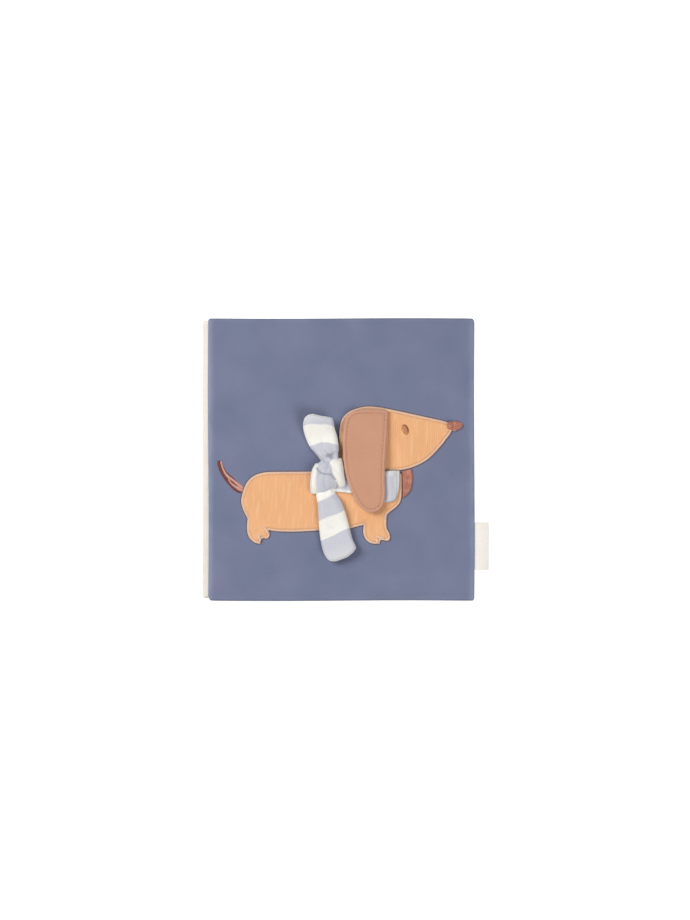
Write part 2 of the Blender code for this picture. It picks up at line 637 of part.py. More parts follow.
def make_scarf(front, tie, upper, lower):
    """The band round the neck, the knot and the two loose ends."""
    band_right = CHEST_LINE - BORDER_WIDTH - GAP
    corner = (band_right - BAND_LENGTH, NECK_LINE + 2 * GAP - BAND_BELOW_JAW - BAND_WIDTH)
    band = smooth_outline(BAND_OUTLINE_SHARES, corner, (BAND_LENGTH, BAND_WIDTH), 3)
    add("scarf_band", patch(band, RAISED_BASE, BAND_TOP, BAND_THICKNESS * 0.4), SCARF, front, -HINGE)
    make_knot(tie)
    deep = TAIL_ROOT_RADIUS + RAISED_BASE - PATCH_BASE
    belly = NECK_LINE - BODY_HEIGHT * (1 - BELLY_SHARE) - BELLY_CLEAR
    turn = radians(TIE_SLOPE)

    def upper_bottom(point):
        sunk = min(max(point.y / SCARF_DROP, 0), 1)
        return -TAIL_ROOT_RADIUS - (deep - TAIL_ROOT_RADIUS) * sunk

    def lower_bottom(point):
        away = KNOT_LENGTH / 2 + GAP + TAIL_ROOT_RADIUS + point.y
        y = TIE.y + point.x * sin(turn) - away * cos(turn)
        sunk = min(max((belly - y) / SCARF_DROP, 0), 1)
        return -TAIL_ROOT_RADIUS - (deep - TAIL_ROOT_RADIUS) * sunk

    add("scarf_upper_end",
        scarf_end(UPPER_END_SHARES, UPPER_END_LENGTH, UPPER_END_WIDTH, UPPER_END_THICKNESS, upper_bottom),
        SCARF, upper)
    lower_mesh = scarf_end(LOWER_END_SHARES, LOWER_END_LENGTH, LOWER_END_WIDTH,
                           LOWER_END_THICKNESS, lower_bottom)
    bmesh.ops.scale(lower_mesh, vec=(1, -1, 1), verts=lower_mesh.verts)
    add("scarf_lower_end", lower_mesh, SCARF, lower)


# Side label

def make_label(hinge):
    """A folded ribbon sewn into the seam: two layers that meet in a round fold."""
    inner, outer = LABEL_SLOT / 2, LABEL_SLOT / 2 + LABEL_WALL
    fold = LABEL_REACH - outer
    angles = [radians(90 - 180 * step / 6) for step in range(7)]
    outline = [(0, outer)] + [(fold + outer * cos(angle), outer * sin(angle)) for angle in angles]
    outline += [(0, -outer), (0, -inner)]
    outline += [(fold + inner * cos(angle), inner * sin(angle)) for angle in reversed(angles)]
    outline += [(0, inner)]
    rings = [[Vector((x, y, z)) for x, z in outline] for y in (-LABEL_LENGTH / 2, LABEL_LENGTH / 2)]
    add("side_label", skin(rings), LABEL, hinge, roughness=0.5)


TIE = Vector((EAR_BACK - TIE_FROM_EAR, NECK_LINE - TIE_BELOW_NECK, RAISED_BASE))


def build():
    """The whole book, from the back cover up."""
    for old in list(bpy.data.objects):
        bpy.data.objects.remove(old)
    second = empty("second_leaf_hinge", None, HINGE)
    first = empty("first_leaf_hinge", second, (0, 0, 0))
    front = empty("front_cover_hinge", first, (0, 0, 0))
    make_leaves(second, first, front)
    make_spine()
    make_patches(front)
    make_embroidery(front)
    layers = EAR_THICKNESS + EAR_LINING_THICKNESS + GAP
    ear_axis = Vector((EAR_BACK + EAR_WIDTH / 2, NECK_LINE + HEAD_HEIGHT - EAR_BELOW_CROWN,
                       RAISED_BASE + layers / 2))
    make_ear(empty("ear_hinge", front, ear_axis - HINGE), ear_axis)
    tie = empty("scarf_tie", front, TIE - HINGE, radians(TIE_SLOPE))
    away = KNOT_LENGTH / 2 + GAP + TAIL_ROOT_RADIUS
    upper = empty("scarf_upper_end_hinge", tie, (0, away, TAIL_ROOT_RADIUS))
    lower = empty("scarf_lower_end_hinge", tie, (0, -away, TAIL_ROOT_RADIUS))
    make_scarf(front, tie, upper, lower)
    label_axis = Vector((COVER_WIDTH / 2 + SEAM_WAVE + GAP + LABEL_SLOT / 2 + LABEL_WALL,
                         -LABEL_DOWN, STACK - HALF_LEAF))
    make_label(empty("side_label_hinge", front, label_axis - HINGE))


build()
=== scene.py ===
"""The looks of a cloth crinkle book: cotton covers and pages round a cloth spine, a corduroy
dachshund with a loose ear and a tied muslin scarf on the front cover, and a satin side label.

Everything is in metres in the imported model's frame, where the book lies shut on its back cover.
Outlines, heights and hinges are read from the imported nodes, and each piece rides on their body.
"""

import json
from math import ceil, cos, pi, radians, sin

import bpy
import numpy as np
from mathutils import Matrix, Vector
from mathutils.geometry import delaunay_2d_cdt


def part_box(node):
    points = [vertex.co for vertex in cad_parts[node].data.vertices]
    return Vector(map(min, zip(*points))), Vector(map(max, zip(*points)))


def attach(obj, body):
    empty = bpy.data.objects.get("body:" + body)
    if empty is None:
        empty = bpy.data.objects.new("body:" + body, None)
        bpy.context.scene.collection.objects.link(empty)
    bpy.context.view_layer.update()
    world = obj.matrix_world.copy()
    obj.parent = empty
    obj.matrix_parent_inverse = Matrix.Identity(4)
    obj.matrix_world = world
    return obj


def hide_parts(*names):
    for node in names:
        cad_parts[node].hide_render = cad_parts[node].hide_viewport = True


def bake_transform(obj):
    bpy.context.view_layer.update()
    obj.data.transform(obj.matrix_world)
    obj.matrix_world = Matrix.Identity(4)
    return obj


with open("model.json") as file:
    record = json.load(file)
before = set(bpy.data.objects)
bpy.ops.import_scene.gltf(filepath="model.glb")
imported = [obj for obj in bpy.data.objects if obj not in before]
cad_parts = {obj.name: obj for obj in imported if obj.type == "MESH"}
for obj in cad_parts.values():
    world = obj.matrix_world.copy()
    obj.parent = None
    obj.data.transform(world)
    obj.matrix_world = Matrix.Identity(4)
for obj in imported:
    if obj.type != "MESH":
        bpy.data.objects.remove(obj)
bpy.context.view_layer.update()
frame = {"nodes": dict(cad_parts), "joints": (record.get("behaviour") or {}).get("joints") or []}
HINGES = {joint["name"]: Vector(joint["pos_m"]) for joint in frame["joints"]}

# Cloth
COTTON_PITCH = 0.00045  # from one yarn to the next
MUSLIN_PITCH = 0.00065
SATIN_PITCH = 0.00028
SATIN_RELIEF = 0.00003
THREAD_SHEEN = 0.1
COTTON_THICKNESS = 0.0005
SEAM_EDGE = 0.0002  # height of a panel at its seam
LEAF_ROUNDING = 0.0035  # how far in from the seam a leaf's face is rounded
CALM_DEPTH = 0.00014  # how far a leaf's face sinks between its high places
CALM_LENGTH = 0.034
CRINKLE_DEPTH = 0.00005
CRINKLE_LENGTH = 0.009
PUCKER_DEPTH = 0.00016
PUCKER_LENGTH = 0.0065
PUCKER_REACH = 0.0055
FILM_CREASE = 0.006
FILM_RELIEF = 0.0002

# Corduroy and embroidery
WALE_PITCH = 0.0012
WALE_DEPTH = 0.00020
PATCH_TUCK = 0.0005  # how far a patch runs in under its border
PATCH_ROUNDING = 0.0006
SINK = 0.0002  # how far sewn pieces press into the cloth below
BORDER_WIDTH = 0.0018
BORDER_RISE = 0.00135
BORDER_STITCH = 0.00046
EDGE_WIDTH = 0.0009  # a dark thread ridge round a border that paints the border's shadow
EDGE_RISE = 0.0004
TOE_WIDTH = 0.0016
TOE_RISE = 0.0006
THREAD_PITCH = 0.00045
THREAD_DEPTH = 0.00016

# Ear
EAR_PAD = 0.0007
EAR_CURL = 0.0016  # how far the ear's front edge stands off the head
TOPSTITCH_INSET = 0.0021
TOPSTITCH_LENGTH = 0.0019
TOPSTITCH_GAP = 0.0007
TOPSTITCH_RADIUS = 0.00017
GROOVE_DEPTH = 0.0003
GROOVE_WIDTH = 0.0005

# Scarf
STRIPE_EDGE = 0.0006
STRIPE_WOBBLE = 0.0006
SCARF_STEP = 0.0005  # from one point of a scarf's mesh to the next
SCARF_HEM = 0.0011
SCARF_ROUNDING = 0.0017
SCARF_EDGE = 0.0002  # depth at which the rounding starts
SCARF_RIM = 0.0005  # how far the hem stands up round an end's tip
SCARF_THICKNESS = 0.0016
SCARF_PUFF = 0.0011
UPPER_CURL = 0.0048  # how far a scarf end's tip stands off the cover
LOWER_CURL = 0.0030
UPPER_TWIST = 0.0016  # how much higher an end's right side is than its left
LOWER_TWIST = 0.0014
GATHER_DEPTH = 0.0005
GATHER_REACH = 0.0085
LOWER_GATHER = 0.35  # the lower end's share of the depth
PLEAT_PITCH = 0.0052  # at the knot; it grows outwards by the spread
PLEAT_SPREAD = 0.12
PLEAT_LEAN = 40  # radians by which a pleat shifts per metre across

# Colours as they look, from 0 to 1
BLUE = (0.440, 0.485, 0.585)
BLUE_VIOLET = (0.475, 0.488, 0.595)
# The lighter blue mixed in at the cover's puffed sides and rim: a painted highlight, with uneven fading.
BLUE_WORN_LIT = (0.545, 0.577, 0.680)
CREAM = (0.957, 0.930, 0.895)
# The lighter cream mixed in at the pages' puffed sides and rim: a painted highlight, with uneven fading.
CREAM_WORN_LIT = (0.985, 0.960, 0.925)
CORDUROY = (0.965, 0.715, 0.515)
CORDUROY_WORN = (0.985, 0.785, 0.610)
PEACH = (0.965, 0.815, 0.715)
PEACH_LIGHT = (1.000, 0.920, 0.840)
# Dark grey-brown of the painted shadow round the corduroy's borders.
EDGE_SHADOW_TONE = (0.440, 0.355, 0.375)
EAR_BROWN = (0.815, 0.605, 0.495)
EAR_BROWN_WORN = (0.845, 0.640, 0.555)
EAR_THREAD = (0.740, 0.490, 0.420)
RUST = (0.728, 0.470, 0.385)
RUST_DARK = (0.465, 0.245, 0.225)
RUST_LIGHT = (0.860, 0.655, 0.600)
EYE = (0.560, 0.350, 0.240)
EYE_LIGHT = (0.830, 0.580, 0.405)
MUSLIN_CREAM = (0.985, 0.975, 0.940)
MUSLIN_BLUE = (0.815, 0.815, 0.852)
SATIN = (0.985, 0.960, 0.925)
WADDING = (0.930, 0.930, 0.920)
FILM = (0.800, 0.830, 0.860)
FLOOR = (0.930, 0.930, 0.930)

EDGE_INSETS = (0.00012, 0.0003, 0.0006, 0.0010, 0.0015, 0.0022, 0.0030)


# Numbers and fields over the plan

def linear(colour):
    """A colour as it looks, turned into the linear values that a shader takes."""
    return [((part + 0.055) / 1.055) ** 2.4 if part > 0.04 else part / 12.92 for part in colour] + [1]


def smooth(share):
    """A step from 0 to 1 with soft ends."""
    held = np.clip(share, 0, 1)
    return held * held * (3 - 2 * held)


def dome(share):
    """A quarter circle's rise from 0 at an edge to 1."""
    return np.sqrt(np.clip(1 - (1 - np.clip(share, 0, 1)) ** 2, 0, 1))


def waves(xy, length, seed, count=11):
    """A smooth uneven field from about -1 to 1 whose bumps are about a length apart."""
    draw = np.random.default_rng(seed)
    total = np.zeros(len(xy))
    for _ in range(count):
        angle, phase, stretch = draw.uniform(0, 2 * pi), draw.uniform(0, 2 * pi), draw.uniform(0.7, 1.5)
        along = xy[:, 0] * cos(angle) + xy[:, 1] * sin(angle)
        total += np.sin(along * 2 * pi / (length * stretch) + phase)
    return np.clip(total / count ** 0.5 / 1.4, -1, 1)


def gap_squared(xy, starts, ends):
    """The square of each point's distance from the nearest of some straight steps."""
    least = np.full(len(xy), 1e9)
    for start, end in zip(starts, ends):
        step = end - start
        share = np.clip((xy - start) @ step / max(step @ step, 1e-16), 0, 1)
        least = np.minimum(least, ((xy - start - share[:, None] * step) ** 2).sum(1))
    return least


def edge_distance(xy, ring):
    """How far each point lies from a closed outline."""
    return np.sqrt(gap_squared(xy, ring, np.roll(ring, -1, axis=0)))


def near_line(xy, points, width):
    """1 on an open line through points, fading to 0 about a width away."""
    points = np.array(points)
    return np.exp(-gap_squared(xy, points, points[1:]) / width ** 2)


def plan(node):
    """A CAD node's least corner and its size, both in plan."""
    low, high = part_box(node)
    return np.array(low[:2]), np.array([high.x - low.x, high.y - low.y])


def level(height):
    """A flat surface at one height."""
    return lambda xy, depth=None: np.full(len(xy), height)


def inside(xy, ring):
    """Which points lie inside a closed outline."""
    found = np.zeros(len(xy), bool)
    for (x0, y0), (x1, y1) in zip(ring, np.roll(ring, -1, axis=0)):
        if y0 != y1:
            crosses = (xy[:, 1] > min(y0, y1)) & (xy[:, 1] <= max(y0, y1))
            found ^= crosses & (xy[:, 0] < x0 + (xy[:, 1] - y0) * (x1 - x0) / (y1 - y0))
    return found


def inset(ring, distance):
    """A closed outline moved inwards, its corners eased."""
    into = ring - np.roll(ring, 1, axis=0)
    out = np.roll(ring, -1, axis=0) - ring
    heading = into / np.linalg.norm(into, axis=1)[:, None] + out / np.linalg.norm(out, axis=1)[:, None]
    heading /= np.maximum(np.linalg.norm(heading, axis=1)[:, None], 1e-9)
    return ring + distance * np.stack([-heading[:, 1], heading[:, 0]], 1)


def outline(node, spacing, corner=35):
    """A CAD node's outline in plan, counter-clockwise, drawn smooth between its corners."""
    mesh = frame["nodes"][node].data
    edges = set()
    for face in mesh.polygons:
        if face.normal.z < -0.01:
            keys = [tuple(round(part, 6) for part in mesh.vertices[i].co[:2]) for i in face.vertices]
            for start, end in zip(keys, keys[1:] + keys[:1]):
                edges ^= {(start, end)} if (end, start) not in edges else {(end, start)}
    after = {}
    for start, end in sorted(edges):
        after.setdefault(start, []).append(end)
    loops = []
    while after:
        here = next(iter(after))
        loop = []
        while here in after:
            loop.append(here)
            ends = after[here]
            here = ends.pop()
            if not ends:
                del after[loop[-1]]
        loops.append(loop)
    longest = np.array(max(loops, key=len))[::-1]
    return smooth_ring(longest, spacing, corner)


def curve_between(t, start, end, leave, arrive):
    """The point at share t of the way from start to end, with given slopes at both."""
    return (start * (1 - 3 * t ** 2 + 2 * t ** 3) + end * (3 * t ** 2 - 2 * t ** 3)
            + leave * (t - 2 * t ** 2 + t ** 3) + arrive * (t ** 3 - t ** 2))


def smooth_ring(points, spacing, corner=35):
    """A closed curve through points, broken where the outline turns sharply."""
    ahead = np.roll(points, -1, axis=0) - points
    lengths = np.linalg.norm(ahead, axis=1)
    points, ahead, lengths = points[lengths > 1e-6], ahead[lengths > 1e-6], lengths[lengths > 1e-6]
    behind, before = np.roll(ahead, 1, axis=0), np.roll(lengths, 1)
    heads, tails = ahead / lengths[:, None], behind / before[:, None]
    sharp = (heads * tails).sum(1) < cos(radians(corner))
    bend = (ahead + behind) / (lengths + before)[:, None]
    leave, arrive = np.where(sharp[:, None], heads, bend), np.where(sharp[:, None], tails, bend)
    curve = []
    for index, start in enumerate(points):
        after = (index + 1) % len(points)
        steps = max(1, ceil(lengths[index] / spacing))
        slopes = lengths[index] * leave[index], lengths[index] * arrive[after]
        curve += [curve_between(step / steps, start, points[after], *slopes) for step in range(steps)]
    return np.array(curve)


def spline(points, count):
    """A smooth open curve through points of any size, as evenly spread as its steps allow."""
    points = np.array(points, float)
    slopes = np.gradient(points, axis=0)
    places = np.linspace(0, len(points) - 1, count)
    first = np.minimum(places.astype(int), len(points) - 2)
    t = (places - first)[:, None]
    return curve_between(t, points[first], points[first + 1], slopes[first], slopes[first + 1])


def measured(path, closed):
    """A path's length, and the function that gives its points at lengths along it."""
    loop = np.vstack([path, path[:1]]) if closed else path
    steps = np.linalg.norm(np.diff(loop[:, :2], axis=0), axis=1)
    total = np.concatenate([[0], np.cumsum(steps)])
    return total[-1], lambda places: np.column_stack([np.interp(places, total, part) for part in loop.T])


def spread(across, along):
    """The points of a grid, row by row."""
    return np.stack(np.meshgrid(across, along), -1).reshape(-1, 2)


# Meshes

def add_object(name, data, place=(0, 0, 0)):
    """A new object in the scene."""
    made = bpy.data.objects.new(name, data)
    made.location = place
    bpy.context.scene.collection.objects.link(made)
    return made


def piece(name, vertices, faces, fields=None, across=None):
    """A smooth mesh piece whose point fields and cloth coordinates its material reads."""
    data = bpy.data.meshes.new(name)
    data.from_pydata([tuple(point) for point in vertices], [], [tuple(face) for face in faces])
    data.update()
    for field, values in (fields or {}).items():
        data.attributes.new(field, "FLOAT", "POINT").data.foreach_set("value", np.asarray(values, np.float32))
    flat = np.asarray(vertices)[:, :2] if across is None else np.asarray(across)
    corners = np.zeros(len(data.loops), np.int32)
    data.loops.foreach_get("vertex_index", corners)
    data.uv_layers.new(name="cloth").data.foreach_set("uv", flat[corners].astype(np.float32).ravel())
    data.shade_smooth()
    return add_object(name, data)


def slab(name, ring, top, bottom, steps, fields=None, insets=EDGE_INSETS):
    """A closed cloth piece over an outline. top and bottom give heights from points and depths."""
    spans = zip(ring.min(0), ring.max(0), np.broadcast_to(steps, 2))
    grid = spread(*[np.arange(low, high, step) + step / 2 for low, high, step in spans])
    rows = [ring]
    for distance in insets:
        row = inset(ring, distance)
        rows.append(row[(edge_distance(row, ring) > 0.93 * distance) & inside(row, ring)])
    grid = grid[inside(grid, ring)]
    rows.append(grid[edge_distance(grid, ring) > insets[-1] + np.min(steps) / 2])
    points = [Vector(point) for point in np.vstack(rows)]
    flat, _, triangles, *_ = delaunay_2d_cdt(points, [], [list(range(len(ring)))], 1, 1e-7)
    xy = np.array([tuple(point) for point in flat])
    depth = edge_distance(xy, ring)
    count = len(xy)
    faces = [tuple(face) for face in triangles]
    ways = {way for face in faces for way in zip(face, face[1:] + face[:1])}
    rim = [way for way in ways if way[::-1] not in ways]
    faces += [tuple(corner + count for corner in face[::-1]) for face in triangles]
    faces += [(end, start, start + count, end + count) for start, end in rim]
    vertices = np.vstack([np.column_stack([xy, top(xy, depth)]), np.column_stack([xy, bottom(xy, depth)])])
    given = {field: np.tile(values(xy, depth), 2) for field, values in (fields or {}).items()}
    return piece(name, vertices, faces, given)


def tube_faces(rows, columns, closed=False, first=0):
    """The faces of a tube through rings of vertices, capped at its ends or closed into a loop."""
    index = first + np.arange(rows * columns).reshape(rows, columns)
    below = index if closed else index[:-1]
    above = np.roll(index, -1, axis=0) if closed else index[1:]
    quads = np.stack([below, np.roll(below, -1, axis=1), np.roll(above, -1, axis=1), above], -1)
    faces = [tuple(face) for face in quads.reshape(-1, 4)]
    return faces if closed else faces + [tuple(index[0][::-1]), tuple(index[-1])]


def loft(name, rings, closed=False, fields=None, across=None):
    """A closed piece through rings of equal count."""
    faces = tube_faces(*rings.shape[:2], closed)
    return turn_out(piece(name, rings.reshape(-1, 3), faces, fields, across))


def turn_out(made):
    """Turns a closed piece's faces outwards."""
    data = made.data
    corners = np.array([vertex.co for vertex in data.vertices])
    volume = 0.0
    for face in data.polygons:
        first, *rest = [corners[i] for i in face.vertices]
        volume += sum(first @ np.cross(one, other) for one, other in zip(rest, rest[1:]))
    if volume < 0:
        data.flip_normals()
    return made


def ridge(centre, side, out, up):
    """Rings of points along a path, from how far each lies out to its side and its height."""
    return np.dstack([centre[:, None] + side[:, None] * out[..., None], up])


def sewn_line(name, path, width, rise, pitch, height, closed=True):
    """Satin stitch along a path: a low round ridge with a thread every pitch, laid at a slant.

    A path with a third column gives the share of the width at each point."""
    total, at = measured(path, closed)
    count = max(8, int(total / (pitch / 4)))
    places = np.linspace(0, total, count, endpoint=not closed)
    xy, share = at(places)[:, :2], at(places)[:, 2:]
    if closed:
        heading = np.roll(xy, -2, axis=0) - np.roll(xy, 2, axis=0)
    else:
        heading = np.gradient(xy, axis=0)
    heading /= np.maximum(np.linalg.norm(heading, axis=1)[:, None], 1e-9)
    side = np.column_stack([-heading[:, 1], heading[:, 0]])
    angles = np.linspace(0, pi, 9)
    taper = np.ones(count) if closed else dome(np.minimum(places, total - places) / (width / 2) + 0.1)
    if share.size:
        taper = taper * share[:, 0]
    thread = np.abs(np.sin(pi * (places[:, None] / pitch + 0.5 * np.cos(angles))))
    swell = (0.80 + 0.20 * thread ** 0.7) * taper[:, None]
    rings = ridge(xy, side, width / 2 * np.cos(angles) * swell,
                  height(xy)[:, None] + rise * np.sin(angles) ** 0.75 * swell)
    # Shade is painted into the gaps between the threads through the hollow field.
    return loft(name, rings, closed, {"hollow": (1 - thread ** 0.5).ravel()})


# Materials

def new_material(name):
    """A material, its node tree and its shader."""
    made = bpy.data.materials.new(name)
    made.use_nodes = True
    return made, made.node_tree, made.node_tree.nodes["Principled BSDF"]


def feed(tree, node, inputs):
    """Gives a node its inputs, each a value or another node's socket."""
    for key, value in inputs.items():
        if isinstance(value, bpy.types.NodeSocket):
            tree.links.new(value, node.inputs[key])
        else:
            node.inputs[key].default_value = value


def add_node(tree, kind, inputs=None, **settings):
    """A shader node with its settings and its inputs."""
    made = tree.nodes.new("ShaderNode" + kind)
    for key, value in settings.items():
        setattr(made, key, value)
    feed(tree, made, inputs or {})
    return made


def calculate(tree, operation, *values):
    """The socket of a Math node."""
    return add_node(tree, "Math", dict(enumerate(values)), operation=operation).outputs[0]


def blended(tree, share, one, other, way="MIX"):
    """The socket of a colour between two others, or of their product."""
    made = add_node(tree, "Mix", {"Factor": share}, data_type="RGBA", clamp_factor=True, blend_type=way)
    colours = [index for index, socket in enumerate(made.inputs) if socket.type == "RGBA"]
    feed(tree, made, dict(zip(colours, (one, other))))
    return made.outputs["Result"]


def field(tree, name):
    """The socket of a point field, 0 where a piece has none."""
    return add_node(tree, "Attribute", attribute_name=name).outputs["Fac"]


def shade(colour, share):
    """A colour made darker or lighter."""
    return [min(1, part * share) for part in colour]


def woven(tree, place, pitch):
    """The height of a plain weave: yarns that pass over and under each other."""
    parts = add_node(tree, "SeparateXYZ", {0: place})
    turned = [calculate(tree, "SINE", calculate(tree, "MULTIPLY", parts.outputs[axis], pi / pitch))
              for axis in ("X", "Y")]
    return calculate(tree, "MULTIPLY_ADD", calculate(tree, "MULTIPLY", *turned), 0.5, 0.5)


def cloth(name, colour, worn_and_lit, pitch, roughness=0.9, sheen=0.15, mottle=0.10, relief=0.00006,
          hollow=0.55, grain=0.0016, patches=0.022, second=None, other=None):
    """A woven or stitched cloth: weave and uneven yarns, a lighter colour mixed in by one point field for
    rubbed cloth and for painted highlights, and shade painted into hollows by another.
    """
    made, tree, shader = new_material(name)
    place = add_node(tree, "UVMap", uv_map="cloth").outputs["UV"]
    weave = woven(tree, place, pitch)
    broad = add_node(tree, "TexNoise", {"Vector": place, "Scale": 1 / patches, "Detail": 3.0})
    fine = add_node(tree, "TexNoise", {"Vector": place, "Scale": 1 / grain, "Detail": 4.0})
    base = blended(tree, broad.outputs["Fac"], linear(shade(colour, 1 - mottle)),
                   linear(shade(other or colour, 1 + mottle)))
    if second:
        wobble = calculate(tree, "MULTIPLY_ADD", fine.outputs["Fac"], 0.6, 0.2)
        edge = calculate(tree, "MULTIPLY_ADD", field(tree, "stripe"), 0.65, wobble)
        base = blended(tree, edge, linear(second), base)
    # The wear field mixes in the lighter colour: a painted highlight on the leaves' puffed edges and on the
    # scarf's hem, and rubbed cloth and pile on the other pieces.
    base = blended(tree, field(tree, "wear"), base, linear(worn_and_lit))
    yarn = calculate(tree, "MULTIPLY_ADD", fine.outputs["Fac"], 0.5, calculate(tree, "MULTIPLY", weave, 0.25))
    grey = blended(tree, yarn, (0.88, 0.88, 0.88, 1), (1.10, 1.10, 1.10, 1))
    toned = blended(tree, 1.0, base, grey, "MULTIPLY")
    # The hollow field paints shade: a darker copy of the colour in seams, creases, folds, wale valleys and
    # the gaps between threads.
    deep = calculate(tree, "MULTIPLY", field(tree, "hollow"), hollow)
    shadow = blended(tree, deep, toned, linear(shade(second or colour, 0.62)))
    lift = calculate(tree, "MULTIPLY_ADD", fine.outputs["Fac"], 0.8, weave)
    bump = add_node(tree, "Bump", {"Strength": 0.6, "Distance": relief, "Height": lift})
    rough = calculate(tree, "MULTIPLY_ADD", fine.outputs["Fac"], 0.12, roughness - 0.06)
    feed(tree, shader, {"Base Color": shadow, "Normal": bump.outputs["Normal"], "Roughness": rough,
                        "Sheen Weight": sheen, "Sheen Roughness": 0.5, "Specular IOR Level": 0.25})
    return made


def film_material():
    """Thin crackling film, creased."""
    made, tree, shader = new_material("crinkle_film")
    place = add_node(tree, "UVMap", uv_map="cloth").outputs["UV"]
    size = {"Vector": place, "Scale": 1 / FILM_CREASE}
    folds = add_node(tree, "TexVoronoi", size, feature="DISTANCE_TO_EDGE").outputs["Distance"]
    # Darker along the crease lines: painted shade.
    tone = blended(tree, folds, linear(shade(FILM, 0.85)), linear(FILM))
    bump = add_node(tree, "Bump", {"Strength": 0.8, "Distance": FILM_RELIEF, "Height": folds})
    feed(tree, shader, {"Base Color": tone, "Normal": bump.outputs["Normal"], "Roughness": 0.3})
    return made


def thread_look(name, colour, light=None, roughness=0.6, mottle=0.12, hollow=0.8, **more):
    """Shiny embroidery thread, with shade painted between its stitches."""
    return cloth(name, colour, light or colour, SATIN_PITCH, roughness, THREAD_SHEEN, mottle, SATIN_RELIEF,
                 hollow, **more)


LOOKS = {
    "cover_cotton": cloth("cover_cotton", BLUE, BLUE_WORN_LIT, COTTON_PITCH, mottle=0.07, patches=0.030,
                          other=BLUE_VIOLET),
    "page_cotton": cloth("page_cotton", CREAM, CREAM_WORN_LIT, COTTON_PITCH, mottle=0.03),
    "spine_cotton": cloth("spine_cotton", CREAM, CREAM_WORN_LIT, COTTON_PITCH, mottle=0.03),
    "wadding": cloth("wadding", WADDING, WADDING, MUSLIN_PITCH, relief=0.0003),
    "crinkle_film": film_material(),
    "corduroy": cloth("corduroy", CORDUROY, CORDUROY_WORN, COTTON_PITCH, sheen=0.3, mottle=0.06, hollow=0.30),
    "satin_stitch": thread_look("satin_stitch", PEACH, PEACH_LIGHT, 0.65, 0.05, 0.6),
    "edge_shadow_thread": cloth("edge_shadow_thread", EDGE_SHADOW_TONE, EDGE_SHADOW_TONE, SATIN_PITCH, 0.8),
    "ear_cloth": cloth("ear_cloth", EAR_BROWN, EAR_BROWN_WORN, SATIN_PITCH, sheen=0.35, mottle=0.04),
    "ear_thread": cloth("ear_thread", EAR_THREAD, EAR_THREAD, SATIN_PITCH, 0.7),
    "rust_thread": thread_look("rust_thread", RUST, RUST_LIGHT, mottle=0.30, patches=0.004),
    "light_thread": thread_look("light_thread", RUST_LIGHT),
    "dark_thread": thread_look("dark_thread", RUST_DARK, RUST),
    "eye_thread": thread_look("eye_thread", EYE_LIGHT, roughness=0.65),
    "eye_outline": thread_look("eye_outline", EYE, roughness=0.65),
    "scarf_cloth": cloth("scarf_cloth", MUSLIN_CREAM, MUSLIN_CREAM, MUSLIN_PITCH, sheen=0.2, mottle=0.02,
                         relief=0.00012, second=MUSLIN_BLUE),
    "label_satin": cloth("label_satin", SATIN, SATIN, SATIN_PITCH, 0.45, 0.3, 0.02, SATIN_RELIEF),
}


def place_piece(made, body, looks, *nodes, slot=None):
    """Gives a piece its material, its body unless it bends, and the CAD nodes that it stands for."""
    made.data.materials.append(LOOKS[looks])
    if body:
        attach(made, body)
    if nodes:
        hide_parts(*nodes)
    return made


# Leaves

COVER_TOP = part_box("front_cover_upper_panel")[1].z
LEAF_COLOURS = {
    "back_cover": ("page_cotton", "cover_cotton"), "second_leaf": ("page_cotton", "page_cotton"),
    "first_leaf": ("page_cotton", "page_cotton"), "front_cover": ("cover_cotton", "page_cotton")}
CREASE_SHARES = [
    (0.03, 0.985, 0.17, 0.990), (0.15, 0.986, 0.40, 0.988), (0.60, 0.984, 0.86, 0.989),
    (0.52, 0.012, 0.80, 0.016), (0.80, 0.014, 0.97, 0.020), (0.93, 0.030, 0.985, 0.075)]
# How far in from the left and right sides the painted highlight of the puffed edges reaches.
SIDE_HIGHLIGHT_REACH = 0.0055
PANEL_STEP, FRONT_STEP = 0.0025, 0.0013
SEAM_LINE = 0.0006
SEAM_SHADE = 0.8
CREASE_WIDTH = 0.0007
CREASE_DEPTH = 0.00022
CORNER_EASE = [(False, False, (0.0024, 0.0060)), (True, False, (0.0016, 0.0045)),
               (True, True, (0.0018, 0.0050)), (False, True, (0.0014, 0.0014))]
FILLING_STEP = 0.0035
FLUFF = 0.0003
FLUFF_EDGE = 0.0015
FILM_THICKNESS = 0.00005
MARGIN_EASE = 0.00012
MARGIN_COLUMNS, MARGIN_ROWS, ROLL_ROWS = 9, 60, 170
HINGE = HINGES["front_cover_turn"]


def creases(xy, node):
    """Faint fold lines that the turned edge leaves in a cover."""
    corner, size = plan(node)
    lines = np.array(CREASE_SHARES).reshape(-1, 2, 2) * size + corner
    return CREASE_DEPTH * sum(near_line(xy, line, CREASE_WIDTH) for line in lines)


def ease_corners(ring):
    """A cover's outline with each corner drawn to a quarter of its own oval."""
    low, high = ring.min(0), ring.max(0)
    for right, top, size in CORNER_EASE:
        corner = np.where([right, top], high, low)
        into = np.where([right, top], -1, 1)
        short = 1 - (ring - corner) * into / size
        over = np.linalg.norm(short, axis=1)
        past = (short > 0).all(1) & (over > 1)
        ring[past] = corner + into * size * (1 - short[past] / over[past, None])
    return ring


